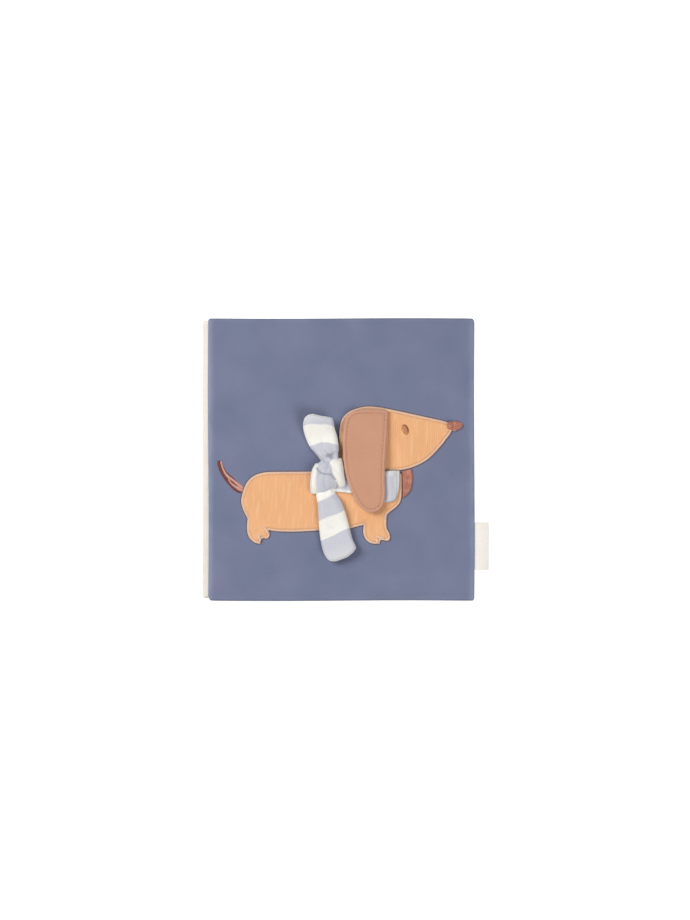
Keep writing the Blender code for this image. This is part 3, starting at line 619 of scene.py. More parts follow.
def make_panel(leaf, which, looks, step, seed):
    """One cotton panel: flat over the filling, rounded and a little puckered at its seam."""
    node = f"{leaf}_{which}_panel"
    low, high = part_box(node)
    up = which == "upper"
    seam, rise = (low.z, high.z - low.z) if up else (high.z, high.z - low.z)
    creased = leaf == "front_cover" and up

    def skin(xy, depth):
        sunk = CALM_DEPTH * (0.5 + 0.5 * waves(xy, CALM_LENGTH, seed))
        sunk += CRINKLE_DEPTH * (0.5 + 0.5 * waves(xy, CRINKLE_LENGTH, seed + 1))
        near = np.exp(-((depth - LEAF_ROUNDING * 0.6) / PUCKER_REACH) ** 2)
        sunk += PUCKER_DEPTH * near * (0.5 + 0.5 * waves(xy, PUCKER_LENGTH, seed + 2))
        if creased:
            sunk += creases(xy, node)
        inwards = depth / LEAF_ROUNDING
        return SEAM_EDGE + (rise - SEAM_EDGE) * dome(inwards) - sunk * smooth(inwards)

    def outer(xy, depth):
        return seam + skin(xy, depth) if up else seam - skin(xy, depth)

    def inner(xy, depth):
        room = np.maximum(skin(xy, depth) - COTTON_THICKNESS, 0)
        return seam + room if up else seam - room

    # Lighter along the left and right sides and round the rounded rim: a painted highlight where the puffed
    # edges catch the light, made uneven, with random fading over the face.
    def wear(xy, depth):
        side = np.minimum(xy[:, 0] - low.x, high.x - xy[:, 0])
        lit_edges = smooth(1 - side / SIDE_HIGHLIGHT_REACH) + 0.35 * smooth(1 - depth / LEAF_ROUNDING)
        uneven = 0.75 + 0.25 * waves(xy, CALM_LENGTH / 2, seed + 3)
        return lit_edges * uneven + 0.12 * waves(xy, CALM_LENGTH, seed + 4)

    # Painted shadow: a thin dark line along the seam at the top and bottom edges.
    def hollow(xy, depth):
        from_end = np.minimum(xy[:, 1] - low.y, high.y - xy[:, 1])
        return SEAM_SHADE * np.exp(-(depth / SEAM_LINE) ** 2) * (from_end < SEAM_LINE * 3)

    ring = outline(node, step * 1.4)
    if "cover" in leaf:
        ring = ease_corners(ring)
    surfaces = (outer, inner) if up else (inner, outer)
    made = slab(f"{leaf}_{which}_cloth", ring, *surfaces, step, {"wear": wear, "hollow": hollow})
    place_piece(made, leaf, looks, node)


def make_filling(leaf, seed):
    """The wadding and the crinkle film between a leaf's panels."""
    node = f"{leaf}_wadding"
    low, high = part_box(node)

    def face(height, way, seed):
        return lambda xy, depth: height + way * FLUFF * (
            1.5 + 0.5 * waves(xy, CRINKLE_LENGTH, seed) - dome(depth / FLUFF_EDGE))

    wadding = slab(f"{leaf}_filling", outline(node, FILLING_STEP), face(high.z, -1, seed),
                   face(low.z, 1, seed + 1), FILLING_STEP, None, (FLUFF_EDGE,))
    place_piece(wadding, leaf, "wadding", node)
    node = f"{leaf}_crinkle_film"
    low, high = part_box(node)
    middle, room = (low.z + high.z) / 2, (high.z - low.z) / 2

    def crumple(xy):
        return middle + (room - FILM_THICKNESS) * np.abs(waves(xy, CRINKLE_LENGTH, seed + 2)) * 2 - room / 2

    film = slab(f"{leaf}_film", outline(node, FILLING_STEP), lambda xy, depth: crumple(xy) + FILM_THICKNESS,
                lambda xy, depth: crumple(xy), FILLING_STEP, None, (FLUFF_EDGE,))
    place_piece(film, leaf, "crinkle_film", node)


def round_spine(along, radii, angles):
    """Rings of points about the spine's middle, one ring at each place along it."""
    rows = np.broadcast_to(along[:, None], radii.shape)
    return np.stack([HINGE.x + radii * np.cos(angles), rows, HINGE.z + radii * np.sin(angles)], -1)


def make_margin(leaf):
    """The cloth with which a leaf is sewn to the spine, hugging its roll."""
    node = f"{leaf}_hinge_margin"
    points = np.array([vertex.co for vertex in frame["nodes"][node].data.vertices])
    away = points[:, [0, 2]] - (HINGE.x, HINGE.z)
    radii, angles = np.linalg.norm(away, axis=1), np.arctan2(away[:, 1], away[:, 0])
    columns, rows = MARGIN_COLUMNS, MARGIN_ROWS
    turned = np.linspace(angles.min(), angles.max(), columns)
    inner, outer = np.full(columns, radii.min()), np.full(columns, radii.max())
    outer -= MARGIN_EASE * (1 - dome(1 - np.abs(np.linspace(-1, 1, columns))))
    ring_angles = np.concatenate([turned, turned[::-1]])
    ring_radii = np.concatenate([inner, outer])
    along = np.linspace(points[:, 1].min(), points[:, 1].max(), rows)
    ripple = waves(np.column_stack([along, along * 0]), PUCKER_LENGTH, 5) * MARGIN_EASE
    radius = ring_radii + np.where(ring_radii > radii.min() + 1e-5, ripple[:, None], 0)
    rings = round_spine(along, radius, ring_angles)
    made = loft(f"{leaf}_hem", rings, across=spread(ring_angles * radii.max(), along))
    place_piece(made, leaf, "spine_cotton", node)


def make_roll(name, node, rounding, depth, seed, looks, count=40, hollow=0):
    """A round roll along Y with soft ends and shallow wrinkles across it, solid or a tube."""
    low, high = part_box(node)
    radius, rows = (high.x - low.x) / 2, ROLL_ROWS
    along = np.linspace(low.y, high.y, rows)
    ends = np.minimum(along - low.y, high.y - along)
    swell = radius - rounding * (1 - dome(ends / rounding))
    angles = np.linspace(0, 2 * pi, count, endpoint=False)
    grid = spread(angles * radius, along)
    round_grid = np.column_stack([grid[:, 1], np.cos(grid[:, 0] / radius) * radius])
    wrinkle = waves(round_grid, PUCKER_LENGTH, seed).reshape(rows, count)
    size = swell[:, None] - depth * (0.5 + 0.5 * wrinkle)
    if hollow:
        size, along = np.vstack([size, size[::-1] - hollow]), np.concatenate([along, along[::-1]])
        grid = np.vstack([grid, grid])
    made = loft(name, round_spine(along, size, angles), closed=bool(hollow), across=grid)
    return place_piece(made, "back_cover", looks, node)


def make_spine():
    """The spine's cloth tube and its filling."""
    filling = make_roll("spine_filling", "spine_core", FLUFF_EDGE, FLUFF / 3, 21, "wadding", 24)
    cover = make_roll("spine_cloth", "spine_binding", LEAF_ROUNDING / 3, SINK / 2, 22, "spine_cotton",
                      hollow=COTTON_THICKNESS * 0.9)


# The dog

on_cover = level(COVER_TOP - SINK)  # where sewn pieces start, pressed a little into the cover
TOE_SHARES = [
    [(0.099, 0.144), (0.111, 0.095), (0.120, 0.042)],
    [(0.139, 0.241), (0.156, 0.197), (0.167, 0.142)],
    [(0.841, 0.108), (0.864, 0.093), (0.892, 0.064)],
    [(0.847, 0.075), (0.847, 0.042), (0.848, 0.009)]]
TAIL_WIDTH_SHARE = 0.30
TAIL_STRANDS = {
    "tail_ground": ("dark_thread", 0.0005, [
        (0.105, 0.985, 0.66), (0.135, 0.850, 0.70), (0.210, 0.690, 0.75), (0.325, 0.540, 0.85),
        (0.435, 0.450, 0.95), (0.540, 0.365, 1.00), (0.645, 0.285, 1.00), (0.740, 0.200, 1.00),
        (0.900, 0.070, 0.95)]),
    "tail_lower_strand": ("dark_thread", 0.0024, [
        (0.055, 0.980, 0.34), (0.095, 0.850, 0.40), (0.160, 0.690, 0.42), (0.255, 0.535, 0.42),
        (0.325, 0.440, 0.42), (0.390, 0.360, 0.42), (0.465, 0.285, 0.40), (0.550, 0.205, 0.42),
        (0.660, 0.130, 0.50), (0.780, 0.060, 0.50), (0.910, -0.010, 0.40)]),
    "tail_upper_strand": ("light_thread", 0.0028, [
        (0.150, 0.975, 0.26), (0.188, 0.850, 0.26), (0.245, 0.705, 0.28), (0.365, 0.540, 0.38),
        (0.485, 0.445, 0.42), (0.630, 0.365, 0.34), (0.800, 0.250, 0.42), (1.000, 0.130, 0.46)]),
    "tail_inner_strand": ("light_thread", 0.0026, [
        (0.440, 0.420, 0.34), (0.470, 0.345, 0.32), (0.560, 0.260, 0.34), (0.690, 0.170, 0.44),
        (0.830, 0.110, 0.56), (0.990, 0.050, 0.50)])}
EYE_LINE = 0.0012
EYE_THIN = 0.65  # share by which the eye's outline thins towards its lower left
NOSE_LAP = 0.0022  # how far the nose's stitches run back over the muzzle's border
NOSE_SHARES = [
    (-0.100, 0.715), (-0.110, 0.480), (-0.095, 0.290), (0.060, 0.200), (0.220, 0.075), (0.430, 0.030),
    (0.670, 0.170), (0.875, 0.375), (0.965, 0.600), (0.875, 0.830), (0.670, 0.975), (0.355, 0.985),
    (0.085, 0.930), (-0.050, 0.850)]


def wales(xy):
    """How deep the valleys between the wales of the corduroy are, from 0 to 1."""
    pressed = 0.55 + 0.45 * waves(xy * (1, 0.5), CALM_LENGTH / 2, 33)
    return (1 - np.abs(np.sin(pi * xy[:, 0] / WALE_PITCH)) ** 0.6) * pressed


def make_patch(node, seed):
    """A corduroy patch inside its satin-stitched border."""
    border_node = node + "_border"
    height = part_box(node)[1].z
    ring = inset(outline(node, BORDER_WIDTH / 3), -PATCH_TUCK)

    def top(xy, depth):
        soft = dome(depth / (PATCH_ROUNDING + PATCH_TUCK))
        swell = SINK * waves(xy, CALM_LENGTH / 2, seed)
        valleys = WALE_DEPTH * wales(xy) * smooth(depth / BORDER_WIDTH)
        return COVER_TOP + (height - COVER_TOP + swell) * soft - valleys

    # Painted shade in the valleys between the wales and along the seam under the border.
    def hollow(xy, depth):
        seam = np.exp(-((depth - PATCH_TUCK - BORDER_WIDTH / 5) / (BORDER_WIDTH / 5)) ** 2)
        return np.clip(wales(xy) * 0.7 + seam, 0, 1)

    def wear(xy, depth):
        return 0.5 * smooth(waves(xy * (1, 0.15), WALE_PITCH * 2.5, seed + 3) * 1.5 - 0.2)

    made = slab(node + "_corduroy", ring, top, on_cover, (WALE_PITCH / 6, WALE_PITCH),
                {"hollow": hollow, "wear": wear})
    place_piece(made, "front_cover", "corduroy", node)
    # A dark thread ridge just outside the border: a painted shadow along the border's edge.
    edge = outline(border_node, BORDER_WIDTH / 3)
    thread = sewn_line(node + "_edge_shadow_thread", edge, EDGE_WIDTH, EDGE_RISE, BORDER_STITCH * 2, on_cover)
    place_piece(thread, "front_cover", "edge_shadow_thread", slot="rust_thread")
    edge = inset(edge, BORDER_WIDTH / 2)
    border = sewn_line(node + "_stitches", edge, BORDER_WIDTH, BORDER_RISE, BORDER_STITCH, on_cover)
    place_piece(border, "front_cover", "satin_stitch", border_node)


def make_toes():
    """The stitched lines that part the toes, in shares of the body's box."""
    corner, size = plan("dog_body_border")
    height = level(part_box("dog_body")[1].z - SINK / 2)
    for index, points in enumerate(TOE_SHARES):
        path = spline(np.array(points) * size + corner, 24)
        made = sewn_line(f"toe_line_{index + 1}", path, TOE_WIDTH, TOE_RISE, BORDER_STITCH, height,
                         closed=False)
        place_piece(made, "front_cover", "satin_stitch")


def make_fill(name, node, body, looks, direction, seed, base, pitch=THREAD_PITCH, shares=None):
    """Satin-stitched filling: threads side by side in one direction, crowned in the middle.

    With shares of the node's box as its outline, it laps over the border on its left."""
    low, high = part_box(node)
    if shares:
        corner, size = plan(node)
        ring = smooth_ring(np.array(shares) * size + corner, THREAD_PITCH, 80)
    else:
        ring = outline(node, THREAD_PITCH)
    turn = np.array([cos(direction), sin(direction)])

    def threads(xy):
        stray = 0.25 * pitch * waves(xy, pitch * 6, seed)
        return 1 - np.abs(np.sin(pi * (xy @ turn + stray) / pitch)) ** 0.7

    def top(xy, depth):
        crown = (high.z - base) * dome((depth + THREAD_PITCH / 3) / FLUFF_EDGE)
        over = BORDER_RISE * smooth((low.x - xy[:, 0]) / NOSE_LAP + 1.5) * bool(shares)
        return base + crown + over - THREAD_DEPTH * threads(xy)

    def wear(xy, depth):
        return 0.5 * smooth(waves(xy, pitch * 4, seed + 1))

    # Shade is painted between the threads through the hollow field.
    made = slab(name, ring, top, level(base - SINK), THREAD_PITCH / 3,
                {"hollow": lambda xy, depth: threads(xy), "wear": wear}, EDGE_INSETS[:4])
    return place_piece(made, body, looks, node)


def make_tail():
    """The tail: thick stitched strands, light above and dark below, that part round a dark middle."""
    corner, size = plan("tail")
    for name, (looks, rise, shares) in TAIL_STRANDS.items():
        rows = spline(shares, 60) * (*size, 1) + (*corner, 0)
        made = sewn_line(name, rows, size[0] * TAIL_WIDTH_SHARE, rise, THREAD_PITCH * 2, on_cover,
                         closed=False)
        nodes = ("tail",) if name == "tail_ground" else ()
        place_piece(made, "front_cover", looks, *nodes, slot="rust_thread")


def make_eye():
    """An oval of brown thread in a darker outline."""
    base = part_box("dog_body")[1].z
    ring = outline("eye", THREAD_PITCH)
    make_fill("eye_filling", "eye", "front_cover", "eye_thread", radians(108), 41, base - SINK)
    path = inset(ring, EYE_LINE / 2)
    out = path - path.mean(0)
    lit = out @ (-0.8, -0.6) / np.linalg.norm(out, axis=1)
    path = np.column_stack([path, 1 - EYE_THIN * smooth(lit * 0.7 + 0.5)])
    edge = sewn_line("eye_outline", path, EYE_LINE, EYE_LINE * 0.8, THREAD_PITCH, level(base))
    place_piece(edge, "front_cover", "eye_outline", slot="eye_thread")


def make_dog():
    """The whole picture but the ear and the scarf."""
    make_patch("dog_body", 31)
    make_patch("dog_head", 32)
    make_toes()
    make_fill("nose_stitches", "nose", "front_cover", "rust_thread", radians(75), 42, COVER_TOP,
              pitch=THREAD_PITCH * 2.5, shares=NOSE_SHARES)
    make_fill("far_ear_stitches", "far_ear", "front_cover", "rust_thread", 0, 43, COVER_TOP,
              pitch=THREAD_PITCH * 2.5)
    make_eye()
    make_tail()


# The ear

EAR_GROOVE_SHADE = 0.25
EAR_STEP = 0.0008
EAR_EDGE = 0.0001  # depth at which the padding starts
STITCH_ROWS, STITCH_SIDES = 7, 8


def ear_levels():
    """The ear's outline and the height of its underside: up from its root and over the scarf."""
    low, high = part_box("ear_flap")
    band_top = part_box("scarf_band")[1].z
    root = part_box("ear_lining")[0].z
    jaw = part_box("dog_head_border")[0].y
    middle, half = (low.x + high.x) / 2, (high.x - low.x) / 2

    def under(xy):
        risen = smooth((high.y - xy[:, 1]) / (high.y - jaw))
        across = (xy[:, 0] - middle) / half
        over = band_top - root + EAR_PAD * (1.4 - across ** 2)
        free = 1 - 0.7 * smooth((jaw + EAR_PAD * 4 - xy[:, 1]) / (EAR_PAD * 8))
        return root + risen * (over + EAR_CURL * (smooth(across) * free + 0.6 * smooth(-across)))
    return under


def make_ear():
    """A padded flap, stitched round inside its edge, over its lining."""
    under = ear_levels()
    ring = outline("ear_flap", BORDER_WIDTH / 2, 50)

    def groove(depth):
        return np.exp(-((depth - TOPSTITCH_INSET) / GROOVE_WIDTH) ** 2)

    def top(xy, depth):
        pad = EAR_PAD * 2 * dome((depth + EAR_EDGE) / (TOPSTITCH_INSET * 0.55))
        soft = SINK * waves(xy, CALM_LENGTH / 2, 51)
        return under(xy) + COTTON_THICKNESS + pad + soft - GROOVE_DEPTH * groove(depth)

    def lining_top(xy, depth):
        return under(xy) + COTTON_THICKNESS

    def wear(xy, depth):
        return smooth(1 - depth / TOPSTITCH_INSET) * (0.6 + 0.3 * waves(xy, PUCKER_LENGTH, 52))

    def hollow(xy, depth):
        return groove(depth) * EAR_GROOVE_SHADE

    face = slab("ear_face", ring, top, lambda xy, depth: lining_top(xy, depth) - SINK / 4, EAR_STEP,
                {"wear": wear, "hollow": hollow})
    place_piece(face, "ear", "ear_cloth", "ear_flap")
    lining = slab("ear_back", inset(ring, PATCH_ROUNDING / 2), lining_top, lambda xy, depth: under(xy),
                  EAR_STEP)
    place_piece(lining, "ear", "page_cotton", "ear_lining")
    thread = make_topstitch("ear_topstitch", inset(ring, TOPSTITCH_INSET),
                            lambda xy: top(xy, np.full(len(xy), TOPSTITCH_INSET)))
    place_piece(thread, "ear", "ear_thread", slot="rust_thread")


def make_topstitch(name, path, height):
    """Separate stitches along a closed path, each a short thread that dips at both ends."""
    total, at = measured(path, True)
    count = int(total / (TOPSTITCH_LENGTH + TOPSTITCH_GAP))
    along, angles = np.linspace(0, pi, STITCH_ROWS), np.arange(STITCH_SIDES) * 2 * pi / STITCH_SIDES
    size = TOPSTITCH_RADIUS * (0.55 + 0.45 * np.sin(along))[:, None]
    rings, faces = [], []
    for stitch in range(count):
        xy = at((total * stitch / count + np.linspace(0, TOPSTITCH_LENGTH, STITCH_ROWS)) % total)
        heading = xy[-1] - xy[0]
        heading /= np.linalg.norm(heading)
        side = np.array([[-heading[1], heading[0]]])
        middle = height(xy) + TOPSTITCH_RADIUS * (np.sin(along) * 1.6 - 0.6)
        rings += [*ridge(xy, side, size * np.cos(angles), middle[:, None] + size * np.sin(angles))]
        faces += tube_faces(STITCH_ROWS, STITCH_SIDES, first=stitch * STITCH_ROWS * STITCH_SIDES)
    return turn_out(piece(name, np.vstack(rings), faces))


# The scarf

UPPER_HINGE, LOWER_HINGE = HINGES["scarf_upper_end_lift"], HINGES["scarf_lower_end_lift"]
TIE = (UPPER_HINGE + LOWER_HINGE) / 2
TIE_UP = np.array((UPPER_HINGE - LOWER_HINGE)[:2]) / (UPPER_HINGE - LOWER_HINGE).length
TIE_ACROSS = np.array([TIE_UP[1], -TIE_UP[0]])
KNOT_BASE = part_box("scarf_knot")[0].z
UPPER_DROP = (0.003, 0.011)  # where an end comes down to the cover, and over what length
LOWER_DROP = (0.020, 0.012)
NECK_LIFT = 0.0018  # how far an end bulges up where it leaves the knot
NECK_LAP = 0.0026  # how far an end's cloth runs in under the knot
LEFT_EASE = 0.0007  # how much fuller the lower end's left edge lies
TIP_EASE = 0.0008  # how much shorter its tip lies
LEFT_REACH, EASE_REACH, TIP_REACH = 0.004, 0.010, 0.012  # lengths over which these set in
LIFT_REACH, LEVEL_REACH = 0.005, 0.018
BOW_REACH = 0.0090  # half the width over which the upper end's stripes bow
BOW = (-0.0018, 0.0005, 0.0005)  # their bend, slope and rise over that half
UPPER_STRIPES = (0.0115, 0.0234)  # where the colours change, from the end's hinge
LOWER_STRIPES = (-0.01, 0.0022, 0.0140, 0.0264)
STRIPE_LEAN = 0.14  # how much steeper the lower end's stripes run than its knot
LEVEL_DROP = 0.0027  # how far the stripe by the knot dips on the left
FOLD_DEPTH = 0.0008
FOLD_WIDTH = 0.00045
PINCH_WIDTH = 0.0012
SCARF_FOLDS = [  # from the middle of the knot
    (FOLD_WIDTH, 0.8, [(-0.0087, 0.0163), (-0.0061, 0.0137), (-0.0036, 0.0112), (-0.0010, 0.0092)]),
    (PINCH_WIDTH, 1.3, [(0.0009, 0.0132), (0.0026, 0.0130)]),
    (FOLD_WIDTH, 0.5, [(0.0020, 0.0128), (-0.0012, 0.0168)]),
    (FOLD_WIDTH, 0.5, [(0.0028, 0.0128), (0.0062, 0.0166)]),
    (FOLD_WIDTH, 1.3, [(-0.0062, 0.0052), (-0.0042, 0.0026), (-0.0010, 0.0016), (0.0030, 0.0012),
                       (0.0055, -0.0020)])]
KNOT_ROLLS = {
    "knot_wrap": ((-1, -1, -1, -0.6, 0.4), 0.06, [
        (0.02, 0.62, 0.15, 0.34), (0.04, 0.44, 0.19, 0.74), (0.01, 0.16, 0.25, 0.92),
        (-0.04, -0.12, 0.28, 0.90), (-0.09, -0.40, 0.25, 0.60), (-0.09, -0.54, 0.18, 0.30)]),
    "knot_loop": ((1, 1), 0.03, [
        (0.325, 0.57, 0.165, 0.36), (0.302, 0.40, 0.178, 0.80), (0.297, 0.12, 0.160, 1.00),
        (0.300, -0.15, 0.125, 0.90), (0.296, -0.38, 0.105, 0.62), (0.282, -0.54, 0.07, 0.30)]),
    "knot_tuck": ((-0.6, 0.3, 1, 1, 1), 0.03, [
        (-0.085, 0.53, 0.08, 0.30), (-0.205, 0.29, 0.11, 0.55), (-0.296, 0.03, 0.105, 0.64),
        (-0.366, -0.26, 0.10, 0.60), (-0.410, -0.50, 0.08, 0.30)])}
KNOT_SHORT = 0.003  # how much shorter the knot is than the way between the ends' hinges
KNOT_SPREAD = 1.517  # the width of the knot in its length
KNOT_ROWS, KNOT_SIDES = 60, 30
LEAST_FLAT = 0.0101
KNOT_CREASE = 0.0042
BAND_TONES = [(0, 0.7, 1.1, 1.3, 2.6, 3.2), (0.3, 0.1, -0.6, -0.3, -0.4, -1)]  # by hems from the edge
BAND_FOLD = 0.0062
BAND_FOLD_DEPTH = 0.0003
BAND_HEM = 0.0015
BAND_ROUNDING = 0.0016
BAND_WAVER = 0.012
BAND_LENGTH_SHOWN = 0.0090
BAND_REACH = 0.0005  # how far the band reaches up to the head's border
BAND_LAP = 0.0080  # how far the band runs in under the knot


def tie_place(xy, origin):
    """Points as (across, along) from an origin in the tied scarf's own directions."""
    away = xy - np.array(origin[:2])
    return np.column_stack([away @ TIE_ACROSS, away @ TIE_UP])


def stripes(along, bounds):
    """Above 0 where the muslin is cream and below 0 where it is grey-blue, from bound to bound."""
    away = along[:, None] - np.array(bounds)
    return np.clip(np.abs(away).min(1) / STRIPE_EDGE, 0, 1) * np.where((away > 0).sum(1) % 2, 1, -1)


def make_scarf_end(name, node, hinge, way, curl, bounds, seed):
    """A loose end: gathered at the knot, puffed, and a little curled off the cover."""
    low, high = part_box(node)
    ring = outline(node, SCARF_STEP * 1.2)

    def lie(xy):
        place = tie_place(xy, hinge)
        return place[:, 0], place[:, 1] * way

    across, along = lie(ring)
    ring = ring - way * np.outer(NECK_LAP * smooth(1 - along / NECK_LAP), TIE_UP)
    if way < 0:
        ring = ring - np.outer(LEFT_EASE * smooth(-across / LEFT_REACH)
                               * smooth(along / EASE_REACH - 0.5), TIE_ACROSS)
        ring = ring + np.outer(TIP_EASE * smooth(along / TIP_REACH - 2.2), TIE_UP)
    reach = max(along)
    drop = UPPER_DROP if way > 0 else LOWER_DROP

    def base(xy, depth):
        across, along = lie(xy)
        neck = (KNOT_BASE - low.z) * (1 - smooth((along - drop[0]) / drop[1]))
        twist = UPPER_TWIST if way > 0 else LOWER_TWIST * smooth(along / reach * 1.5)
        twist = twist * smooth(across / (high.x - low.x) + 0.5)
        lift = NECK_LIFT * smooth(along / LIFT_REACH) * (1 - smooth((along - 0.6 * drop[0]) / drop[1]))
        return low.z + neck + lift + twist + curl * smooth((along - reach * 0.35) / (reach * 0.65))

    def fold(xy, depth):
        across, along = lie(xy)
        gather = np.exp(-np.clip(along, 0, None) / GATHER_REACH)
        lines = np.cos(across * 2 * pi / (PLEAT_PITCH + PLEAT_SPREAD * np.clip(along, 0, None))
                       + 0.6 + PLEAT_LEAN * way * across)
        gather = gather * (1 if way > 0 else LOWER_GATHER)
        ripple = gather * lines * GATHER_DEPTH + waves(xy, CRINKLE_LENGTH, seed) * GATHER_DEPTH * 0.4
        return ripple - FOLD_DEPTH * folded(xy)

    def top(xy, depth):
        puff = SCARF_THICKNESS + SCARF_PUFF * smooth(depth / SCARF_ROUNDING / 2)
        along = lie(xy)[1]
        rim = SCARF_RIM * np.exp(-((depth - SCARF_HEM) / SCARF_HEM) ** 2) * smooth(along / reach * 2 - 0.6)
        return base(xy, depth) + (puff + fold(xy, depth) + rim) * dome((depth + SCARF_EDGE) / SCARF_ROUNDING)

    def striped(xy, depth):
        across, along = lie(xy)
        if way > 0:
            left = smooth((TIE.x - LEFT_REACH - xy[:, 0]) / LEFT_REACH)
            dip = LEVEL_DROP * left * (1 - smooth(along / LEVEL_REACH))
            side = np.clip(across / BOW_REACH - 0.25, -1.3, 1.2)
            along = xy[:, 1] - hinge.y + dip - np.polyval(BOW, side)
        else:
            along = along + STRIPE_LEAN * across
        return stripes(along + STRIPE_WOBBLE * waves(xy, CALM_LENGTH / 3, seed + 1), bounds)

    # A painted highlight on the hem round the tip, where the rolled hem catches the light: the stripes there
    # turn to the cream.
    def wear(xy, depth):
        tip = smooth((lie(xy)[1] - reach * 0.7) / (reach * 0.3))
        return tip * (0.25 + 0.6 * smooth(1 - depth / SCARF_HEM))

    # Painted shade in the gathers and along the fold lines and pinches.
    def hollow(xy, depth):
        return np.clip(np.clip(-fold(xy, depth) / GATHER_DEPTH - 0.2, 0, 1) * 0.5 + 0.8 * folded(xy), 0, 1)

    made = slab(name, ring, top, base, SCARF_STEP, {"stripe": striped, "hollow": hollow, "wear": wear})
    place_piece(made, None, "scarf_cloth", node)
    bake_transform(made)


def folded(xy):
    """1 in the scarf's fold lines and pinches."""
    lines = [[np.add(TIE[:2], point) for point in points] for _, _, points in SCARF_FOLDS]
    return sum(depth * near_line(xy, line, width) for (width, depth, _), line in zip(SCARF_FOLDS, lines))


def make_knot():
    """The tied knot: a wrap, with a loop on its right and a tucked fold on its left."""
    size = (UPPER_HINGE - LOWER_HINGE).length - KNOT_SHORT
    wide = size * KNOT_SPREAD
    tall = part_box("scarf_knot")[1].z - KNOT_BASE
    for index, (name, (tones, creased, shares)) in enumerate(KNOT_ROLLS.items()):
        rows = spline(shares, KNOT_ROWS)
        centre = np.array(TIE[:2]) + rows[:, :1] * wide * TIE_ACROSS + rows[:, 1:2] * size * TIE_UP
        heading = np.gradient(centre, axis=0)
        lengths = np.linalg.norm(heading, axis=1)
        side = np.column_stack([heading[:, 1], -heading[:, 0]]) / lengths[:, None]
        share = np.linspace(0, 1, KNOT_ROWS)
        cap = dome(np.minimum(share, 1 - share) * 18 + 0.02)
        half, rise = rows[:, 2] * wide * cap, rows[:, 3] * tall * cap
        angles = np.linspace(-0.35, pi + 0.35, KNOT_SIDES)
        unrolled = spread(angles, np.cumsum(lengths))
        unrolled[:, 0] *= np.repeat(half, KNOT_SIDES)
        crease = waves(unrolled * (1, 0.3), KNOT_CREASE, 61 + index).reshape(KNOT_ROWS, KNOT_SIDES)
        swell = 1 + creased * crease
        rings = ridge(centre, side, half[:, None] * np.cos(angles) * swell,
                      KNOT_BASE + rise[:, None] * (np.sin(angles) + 0.3) / 1.3 * swell)
        lines = folded(rings[..., :2].reshape(-1, 2))
        rings[..., 2] -= FOLD_DEPTH * lines.reshape(crease.shape)
        tone = np.interp(angles, np.linspace(0, pi, len(tones)), tones)
        # The hollow field paints shade into the creases and fold lines.
        fields = {"stripe": np.tile(tone, KNOT_ROWS),
                  "hollow": np.clip(np.clip(-crease.ravel(), 0, 1) * creased * 6 + lines, 0, 1)}
        made = loft(name, rings, fields=fields, across=unrolled)
        place_piece(made, "front_cover", "scarf_cloth", *(("scarf_knot",) if index == 0 else ()))
        length, width = lengths.sum(), 2 * half.mean() + rise.mean()
        flat = (max(width, LEAST_FLAT), max(length, LEAST_FLAT))


def make_band():
    """The scarf's turn round the neck, in soft folds that run round it."""
    low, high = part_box("scarf_band")
    ring = outline("scarf_band", SCARF_STEP * 1.2)
    ring[:, 0] -= BAND_LAP * smooth((low.x + BAND_LAP - ring[:, 0]) / BAND_LAP)
    ring[:, 1] += BAND_REACH * smooth((ring[:, 1] - high.y) / BAND_HEM + 1)
    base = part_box("dog_body")[1].z - SINK

    def fold(xy):
        return np.cos((xy[:, 0] - high.x) * 2 * pi / BAND_FOLD + 0.5 * waves(xy, BAND_WAVER, 71))

    def from_edge(xy):
        return np.minimum(high.x - xy[:, 0], (high.y - xy[:, 1]) * 1.3)

    def top(xy, depth):
        rise = high.z - base + SCARF_PUFF * 0.4 + fold(xy) * BAND_FOLD_DEPTH
        return base + rise * dome((depth + SCARF_EDGE) / BAND_ROUNDING)

    def striped(xy, depth):
        inwards = from_edge(xy) / BAND_HEM
        lower = smooth((low.x + BAND_LENGTH_SHOWN - xy[:, 0]) / BAND_HEM) * smooth(1.7 - depth / BAND_HEM)
        return np.clip(np.interp(inwards, *BAND_TONES) + 2 * lower, -1, 1)

    # Painted shade in the valleys between the folds, and a painted dark line a little more than a hem in from
    # the right edge.
    def hollow(xy, depth):
        line = np.exp(-((high.x - xy[:, 0] - BAND_HEM * 1.15) / (BAND_HEM * 0.3)) ** 2)
        return np.clip(np.clip(-fold(xy), 0, 1) * 0.4 + line * 0.8, 0, 1)

    made = slab("scarf_band_cloth", ring, top, level(base), SCARF_STEP, {"stripe": striped, "hollow": hollow})
    place_piece(made, "front_cover", "scarf_cloth", "scarf_band")


# The side label

RIBBON_THICKNESS = 0.00025
LABEL_TUCK = 0.0012
LABEL_ROWS = 46
LABEL_DROOP = 0.0009


